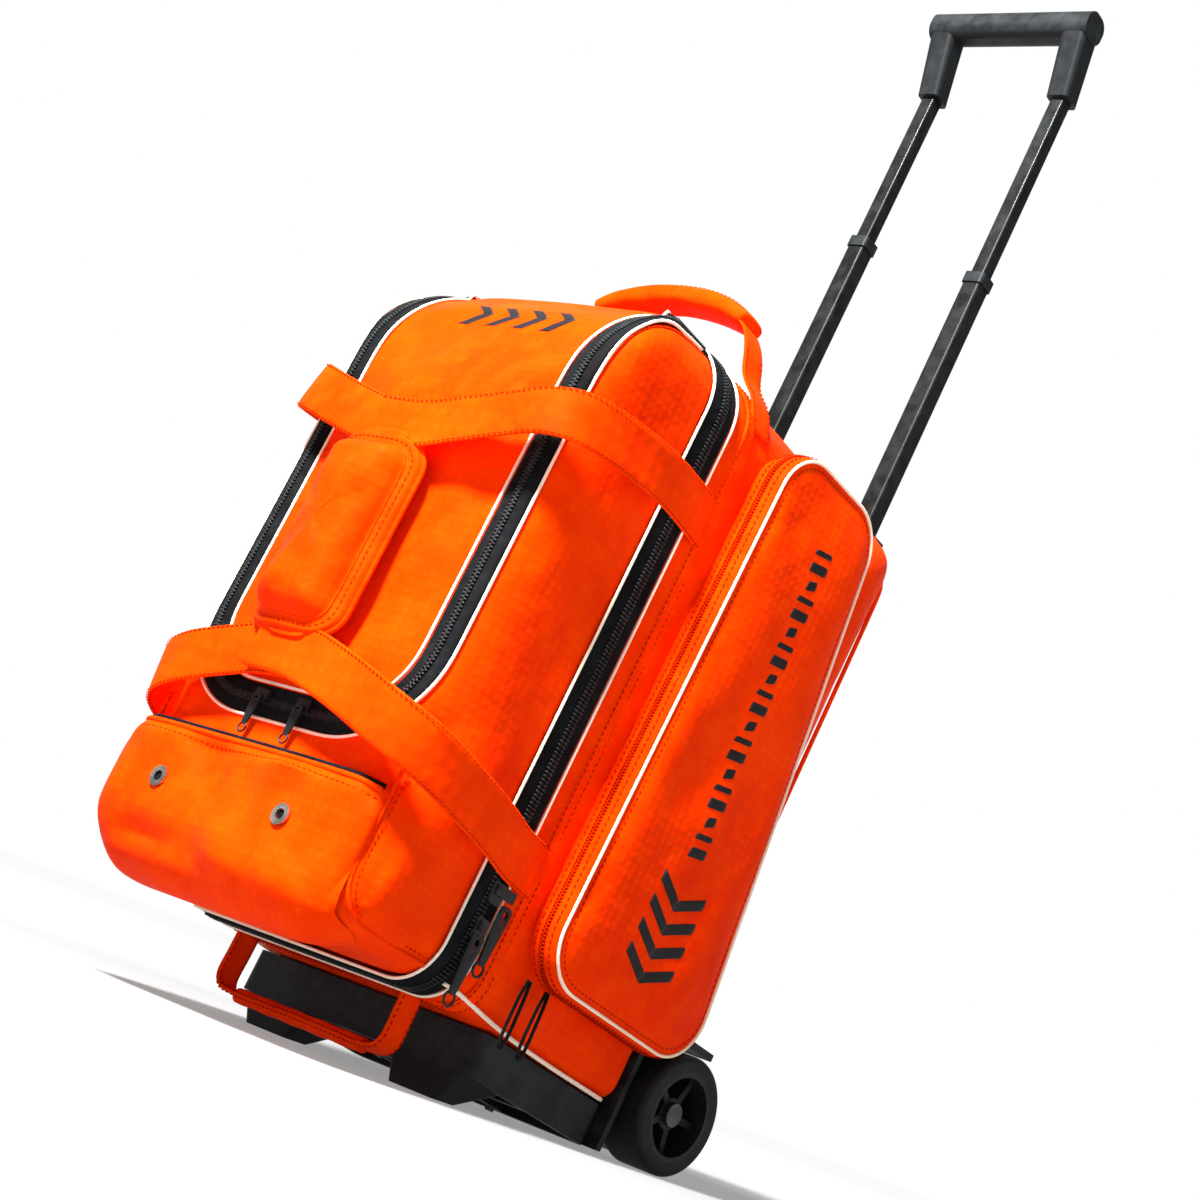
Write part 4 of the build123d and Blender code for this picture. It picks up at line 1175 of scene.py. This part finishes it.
def make_top_handle():
    """Padded arch on two webbing ends that are sewn to the tub's top corners."""
    mid, rise = 560.5, 16.0
    x = np.linspace(-70, 70, 57)
    line = rows_to((x, -60.0, mid + rise * (1 - (x / 70.0) ** 2)))
    t = tangents(line)
    n = np.cross(np.tile([0, 1.0, 0], (len(x), 1)), t)
    angle = np.linspace(0, 2 * math.pi, 28, endpoint=False)
    power = 0.72
    du, dw = (np.sign(f) * np.abs(f) ** power for f in (np.cos(angle), np.sin(angle)))
    taper = (1 - np.abs(x / 71.5) ** 9) ** 0.5
    wide, thick = 14.5 * (0.82 + 0.18 * taper), 7.6 * (0.45 + 0.55 * taper)
    verts = (line[:, None] + np.array([0, 1.0, 0]) * (du[None, :] * wide[:, None])[..., None]
             + n[:, None] * (dw[None, :] * thick[:, None])[..., None])
    faces = grid_faces(len(x), len(angle), closed_columns=True) + ends(len(x), len(angle))
    grip_pad = make_object("top_handle_cover", verts.reshape(-1, 3), faces, FABRIC)
    puff(grip_pad, None, 2.0, lambda p: 1.6 * smoothstep(66 - np.abs(p[:, 0]), 0, 16), growth=0.04)
    place(subdivide(grip_pad), "top_handle", "shell_fabric", "top_handle_pad")
    skin = Skin(grip_pad)
    for name, y in (("front", -69.5), ("rear", -50.5)):
        seam_on(f"top_handle_stitches_{name}", skin, rows_to((np.linspace(-64, 64, 30), y, 600.0)), "top",
                "top_handle")
    for side, s in (("left", -1), ("right", 1)):
        path = [(s * 54, -60, 563.5), (s * 64, -60, 561), (s * 72, -60, 556), (s * 80, -60, 545),
                (s * 86, -60, 533), (s * 89, -60, 524), (s * 93, -60, 515.5), (s * 100, -60, 509.5),
                (s * 108, -60, 502), (s * 115, -60, 490.5), (s * 119, -60, 478)]
        line, across, n = web_line(path, 5)
        web = make_object(f"top_handle_web_{side}", *band(line, across, n, 12.5, 2.2), WEBBING)
        line, across, n = line[14:], across[14:], n[14:] * s
        rows = [stitches(line + across * k * 9.8 + n * 1.25, n) for k in (-1, 1)]
        thread = make_object(f"top_handle_web_stitches_{side}", *join(*rows), THREAD)
        for obj in (web, thread):
            tuple(to_world([s * 92, -60, 516]))
            tuple(to_world([s * 74, -60, 556]))
            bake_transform(obj)
        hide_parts("top_handle_webbing", "top_handle_anchors")


make_top_handle()


def make_bottom_handle():
    """Webbing loop under the case, sewn to the tub at both ends."""
    path = [(-80, -80, 50), (-80, -80, 34), (-81, -80, 18), (-76, -80, 10.5), (-60, -80, 9.5), (0, -80, 10.5),
            (60, -80, 9.5), (76, -80, 10.5), (81, -80, 18), (80, -80, 34), (80, -80, 50)]
    line, across, n = web_line(path, 4)
    fold = 1.0 - 0.35 * smoothstep(70 - np.abs(line[:, 0]), 0, 25)
    web = make_object("bottom_loop_web", *band(line, across * fold[:, None], n, 10.5, 2.6), WEBBING)
    rows = [stitches(line + across * k * 8.0 * fold[:, None] + n * g * 1.4, n * g) for k in (-1, 1)
            for g in (-1, 1)]
    thread = make_object("bottom_loop_stitches", *join(*rows), THREAD)
    sleeve = resample([(-62, -80, 10.0), (62, -80, 10.0)], 4.0)
    lumps = 5.0 + 0.25 * np.sin(np.arange(len(sleeve)))
    roll = make_object("bottom_loop_roll", *tube(sleeve, lumps, 14), FABRIC)
    for obj in (web, thread, roll):
        tuple(to_world([0, -80, 44]))
        tuple(to_world([0, -80, 33]))
        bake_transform(obj)
    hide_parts("bottom_handle", "bottom_handle_anchors")


make_bottom_handle()


# ------------------------------------------------------------------ zip pulls
def plate(outline, hole, thickness, place_at):
    """A flat tab with a round hole near its end; place_at(u, v, w) puts its points on the bag's axes."""
    rim = resample(outline, 0.8, closed=True)
    angle = np.arctan2(*(rim - hole[:2]).T[::-1])
    ring = np.array(hole[:2]) + hole[2] * np.column_stack([np.cos(angle), np.sin(angle)])
    middle = [(ring + (rim - ring) * k, thickness / 2 * (1 - 0.25 * k ** 6)) for k in (0.35, 0.7, 0.93)]
    layers = [(ring, -thickness / 2), (ring, thickness / 2)] + middle + [(rim, 0.35 * thickness)]
    layers += [(rim, -0.35 * thickness)] + [(e, -w) for e, w in middle[::-1]]
    verts = np.concatenate([place_at(e[:, 0], e[:, 1], np.full(len(e), w)) for e, w in layers])
    return verts, grid_faces(len(layers), len(rim), closed_rows=True, closed_columns=True)


def ring_at(centre, radius, wire, a, b):
    """A wire ring round a centre, in the plane of two directions."""
    angle = np.linspace(0, 2 * math.pi, 28, endpoint=False)[:, None]
    return tube(np.array(centre) + radius * (np.cos(angle) * np.array(a) + np.sin(angle) * np.array(b)), wire,
                closed=True)


TAB = ((-4.6, -2), (-5.2, -8), (-4.2, -22), (-3.2, -36), (-2.2, -40), (2.2, -40), (3.2, -36), (4.2, -22),
       (5.2, -8), (4.6, -2), (2.5, -0.6), (-2.5, -0.6))
TAB_HOLE = (0, -5.5, 2.3)


def make_pulls():
    """Metal tabs with rings on the main zip and the lid zip, and cord loops on the side pocket's zip."""
    def hinge(name):
        return to_bag(JOINTS[f"{name}_swing"]["pos_m"])

    for name in ("main_pull_upper", "main_pull_lower"):
        x, y, z = hinge(name)
        tab = plate(TAB, TAB_HOLE, 2.6, lambda u, v, w: rows_to((x + w, y + u, z + v)))
        shapes = join(tab, ring_at((x, y, z - 42.5), 4.6, 0.9, (0, 1, 0), (0, 0, 1)))
        add(f"{name}_plate", shapes, DARK_METAL, f"{name}_tab", "zip_metal", name)
    for name in ("lid_pull_left", "lid_pull_right"):
        x, y, z = hinge(name)
        tab = plate(TAB, TAB_HOLE, 2.0, lambda u, v, w: rows_to((x + u * 0.75, y + w, z + v * 0.55)))
        shapes = join(tab, ring_at((x, y, z - 24), 3.2, 0.7, (1, 0, 0), (0, 0, 1)))
        add(f"{name}_plate", shapes, DARK_METAL, f"{name}_tab", "zip_metal", name)
    for side in ("front", "rear"):
        name = f"side_pull_{side}"
        x, y, z = hinge(name)
        loop = [(x, y - 1.2, z), (x, y - 2.6, z - 12), (x + 0.6, y - 3.2, z - 30), (x + 0.8, y - 2.6, z - 42),
                (x + 0.8, y, z - 46.5), (x + 0.8, y + 2.6, z - 42), (x + 0.4, y + 3.2, z - 30),
                (x, y + 2.6, z - 12), (x, y + 1.2, z)]
        line = resample(relax(resample(loop, 1.5), 3), 1.5)
        add(f"{name}_cord", tube(line, 1.15, 10), CORD, f"{name}_loop", "pull_cord", f"side_zip_pull_{side}")


make_pulls()


# ------------------------------------------------------------------ seams, piping and prints on the body
def make_body_trim():
    """The tub's bindings, piping and seams, and the chevrons printed on the lid."""
    seam_y = -71.0
    right = barrel_path(seam_y, -100.0, -100.0)
    left = [(-x, y, z) for x, y, z in barrel_path(seam_y, -20.0, -20.0)]
    for suffix, path in (("", right), ("_left", left)):
        add("tub_seam_binding" + suffix, tape_on(path, tub, 5.0, -0.5, 1.5), FABRIC, "bag")
        if path is right:
            for name, shift in (("front", -3.6), ("rear", 3.6)):
                row = stitches(*beside(path, tub, shift, 1.6))
                add(f"tub_seam_stitches_{name}", row, THREAD, "bag")

    for side, s in (("right", 1), ("left", -1)):
        low = [(s * 119, y, 58.0 - 8.0 * smoothstep(y, -90, 40)) for y in np.linspace(-98, 84, 20)]
        line = seam_frames(low, tub, 0.9)[0]
        add(f"tub_base_piping_{side}", tube(line, BINDING_R), PIPING, "bag")
    back = [(105.4, 150.4, z) for z in np.linspace(124, 446, 40)]
    back += [(105.4 - k * 0.5, 150.4 - k * 0.42, 446 + k) for k in (8, 16, 24, 32)]
    back += [(x, 138 + (1 - abs(x) / 90) * 10, 500) for x in np.linspace(84, 0, 14)]
    back += [(-x, y, z) for x, y, z in back[-2::-1]]
    line = relax(drape(resample(relax(resample(back, 4.0), 8), 4.0), tub, 1.6), 3)
    add("tub_back_piping", tube(line, 1.7), FABRIC, "bag")

    chevrons, z, tall, wide, deep = [], 462.0, 17.0, 10.0, 14.0
    for x in (-44.0, -19.0, 6.0, 31.0):
        low, middle, high = ([(x + shift, at), (x + wide + shift, at)]
                             for shift, at in ((0, z - tall), (deep, z), (0, z + tall)))
        chevrons += [low + middle[::-1], middle + high[::-1]]
    print_on("lid_print", Skin(bpy.data.objects["shoe_lid_cover"]), chevrons, "top_front", "front_case",
             (0, 2), -185.0)


make_body_trim()


def make_back_panel():
    """The padded panel on the back that hides the trolley tubes."""
    def lift(u, v, h):
        return drape(rows_to((u, TUB_BACK + 2, v)), tub, 0.3) + np.column_stack([0 * h, h, 0 * h])

    outline = box_outline(-86, 86, 132, 452, (16, 16, 26, 26), 6.0)
    panel = pad("back_panel_pad", outline, lift, 5.0, 0.4, FABRIC, rings=20, roundness=6)
    puff(panel, None, 1.6, lambda p: 2.6 * smoothstep(p[:, 1], 169, 171.5), growth=0.035)
    place(subdivide(panel), "bag", "shell_fabric")
    skin = Skin(panel)
    inset = box_outline(-80, 80, 138, 446, (12, 12, 20, 20), 4.0)
    path = rows_to((inset[:, 0], TUB_BACK + 5, inset[:, 1]))
    seam_on("back_panel_stitches", skin, np.vstack([path, path[:1]]), "back", "bag")
    for x in (-36.0, 36.0):
        seam_on(f"back_panel_channel_{'right' if x > 0 else 'left'}", skin,
                rows_to((x, TUB_BACK + 5, np.linspace(142, 442, 20))), "back", "bag")


make_back_panel()


# ------------------------------------------------------------------ studio
WALL_WAY = (-0.67, 0.68, 0.28)
WALL_EDGE, WALL_DIM, WALL_BRIGHT = (0.55, 0.88), 0.2, 1.0
SKIRTING_HEIGHT, SKIRTING_BRIGHT = (0.1, 0.25), 0.95
FLOOR_HALF = 30.0
FLOOR_REACH, FLOOR_GLOW = (0.4, 1.3), (0.3, 0.9)


def make_floor():
    """Pale floor. It glows a little, more so far off, so that it meets the wall without a dark edge."""
    mesh = bpy.data.meshes.new("floor")
    corners = [(x * FLOOR_HALF, y * FLOOR_HALF, 0) for x, y in ((-1, -1), (1, -1), (1, 1), (-1, 1))]
    mesh.from_pydata(corners, [], [(0, 1, 2, 3)])
    floor = new_object("floor", mesh)
    pale, tree, shader = new_material("pale_floor", (0.17, 0.17, 0.17), 0.9, Specular_IOR_Level=0.0,
                                      Emission_Color=(1, 1, 1, 1))
    reach = tree.nodes.new("ShaderNodeVectorMath")
    reach.operation = "LENGTH"
    tree.links.new(bag_coordinates(tree), reach.inputs[0])
    glow = spread(tree, reach.outputs["Value"], *FLOOR_REACH, *FLOOR_GLOW)
    tree.links.new(glow, shader.inputs["Emission Strength"])
    grain = noise_of(tree, bag_coordinates(tree), 3.0)
    tree.links.new(mix_of(tree, grain, (0.15, 0.15, 0.15), (0.18, 0.18, 0.18)), shader.inputs["Base Color"])
    mesh.materials.append(pale)


def make_world():
    """A white wall, bright towards WALL_WAY and in a band near the horizon, and dim elsewhere."""
    world = bpy.data.worlds.new("studio")
    bpy.context.scene.world = world
    world.use_nodes = True
    tree = world.node_tree
    backdrop = tree.nodes["Background"]
    backdrop.inputs["Color"].default_value = (1, 1, 1, 1)
    way = tree.nodes.new("ShaderNodeTexCoord").outputs["Generated"]
    toward = tree.nodes.new("ShaderNodeVectorMath")
    toward.operation = "DOT_PRODUCT"
    toward.inputs[1].default_value = WALL_WAY
    height = tree.nodes.new("ShaderNodeSeparateXYZ")
    tree.links.new(way, toward.inputs[0])
    tree.links.new(way, height.inputs[0])
    wall = spread(tree, toward.outputs["Value"], *WALL_EDGE, WALL_DIM, WALL_BRIGHT)
    skirting = spread(tree, height.outputs["Z"], *SKIRTING_HEIGHT, SKIRTING_BRIGHT, WALL_DIM)
    tree.links.new(math_of(tree, wall, skirting, "MAXIMUM"), backdrop.inputs["Strength"])


def add_light(name, position, target, size, power):
    """A square lamp turned to a target."""
    light = bpy.data.lights.new(name, "AREA")
    light.size, light.energy = size, power
    obj = new_object(name, light)
    obj.location = position
    obj.rotation_euler = (Vector(target) - Vector(position)).to_track_quat("-Z", "Y").to_euler()


CAMERA_PLACE = (1135.7, -1175.0, -107.3)
CAMERA_TURN, CAMERA_RISE, CAMERA_ROLL = 44.1, -16.1, 26.2
LENS, SENSOR = 72.86, 36.0


def aim_camera():
    """The photograph's viewpoint, turned and rolled on the bag's axes."""
    turn, rise, roll = (math.radians(v) for v in (CAMERA_TURN, CAMERA_RISE, CAMERA_ROLL))
    behind = Vector((math.sin(turn) * math.cos(rise), -math.cos(turn) * math.cos(rise), math.sin(rise)))
    flat = Vector((math.cos(turn), math.sin(turn), 0))
    tall = behind.cross(flat)
    right = flat * math.cos(roll) + tall * math.sin(roll)
    top = tall * math.cos(roll) - flat * math.sin(roll)
    data = bpy.data.cameras.new("camera")
    data.lens, data.sensor_width, data.clip_start = LENS, SENSOR, 0.01
    camera = new_object("camera", data)
    turn_matrix = (AXES @ Matrix((right, top, behind)).transposed()).to_4x4()
    camera.matrix_world = Matrix.Translation(Vector(to_world(CAMERA_PLACE))) @ turn_matrix
    bpy.context.scene.camera = camera


make_floor()
make_world()
add_light("key", (0.15, -1.75, 2.5), (0, 0, 0.3), 0.45, 430)
add_light("side", (2.0, -0.4, 1.6), (0, 0, 0.35), 0.8, 5)
aim_camera()
bpy.context.scene.view_settings.view_transform = "Standard"
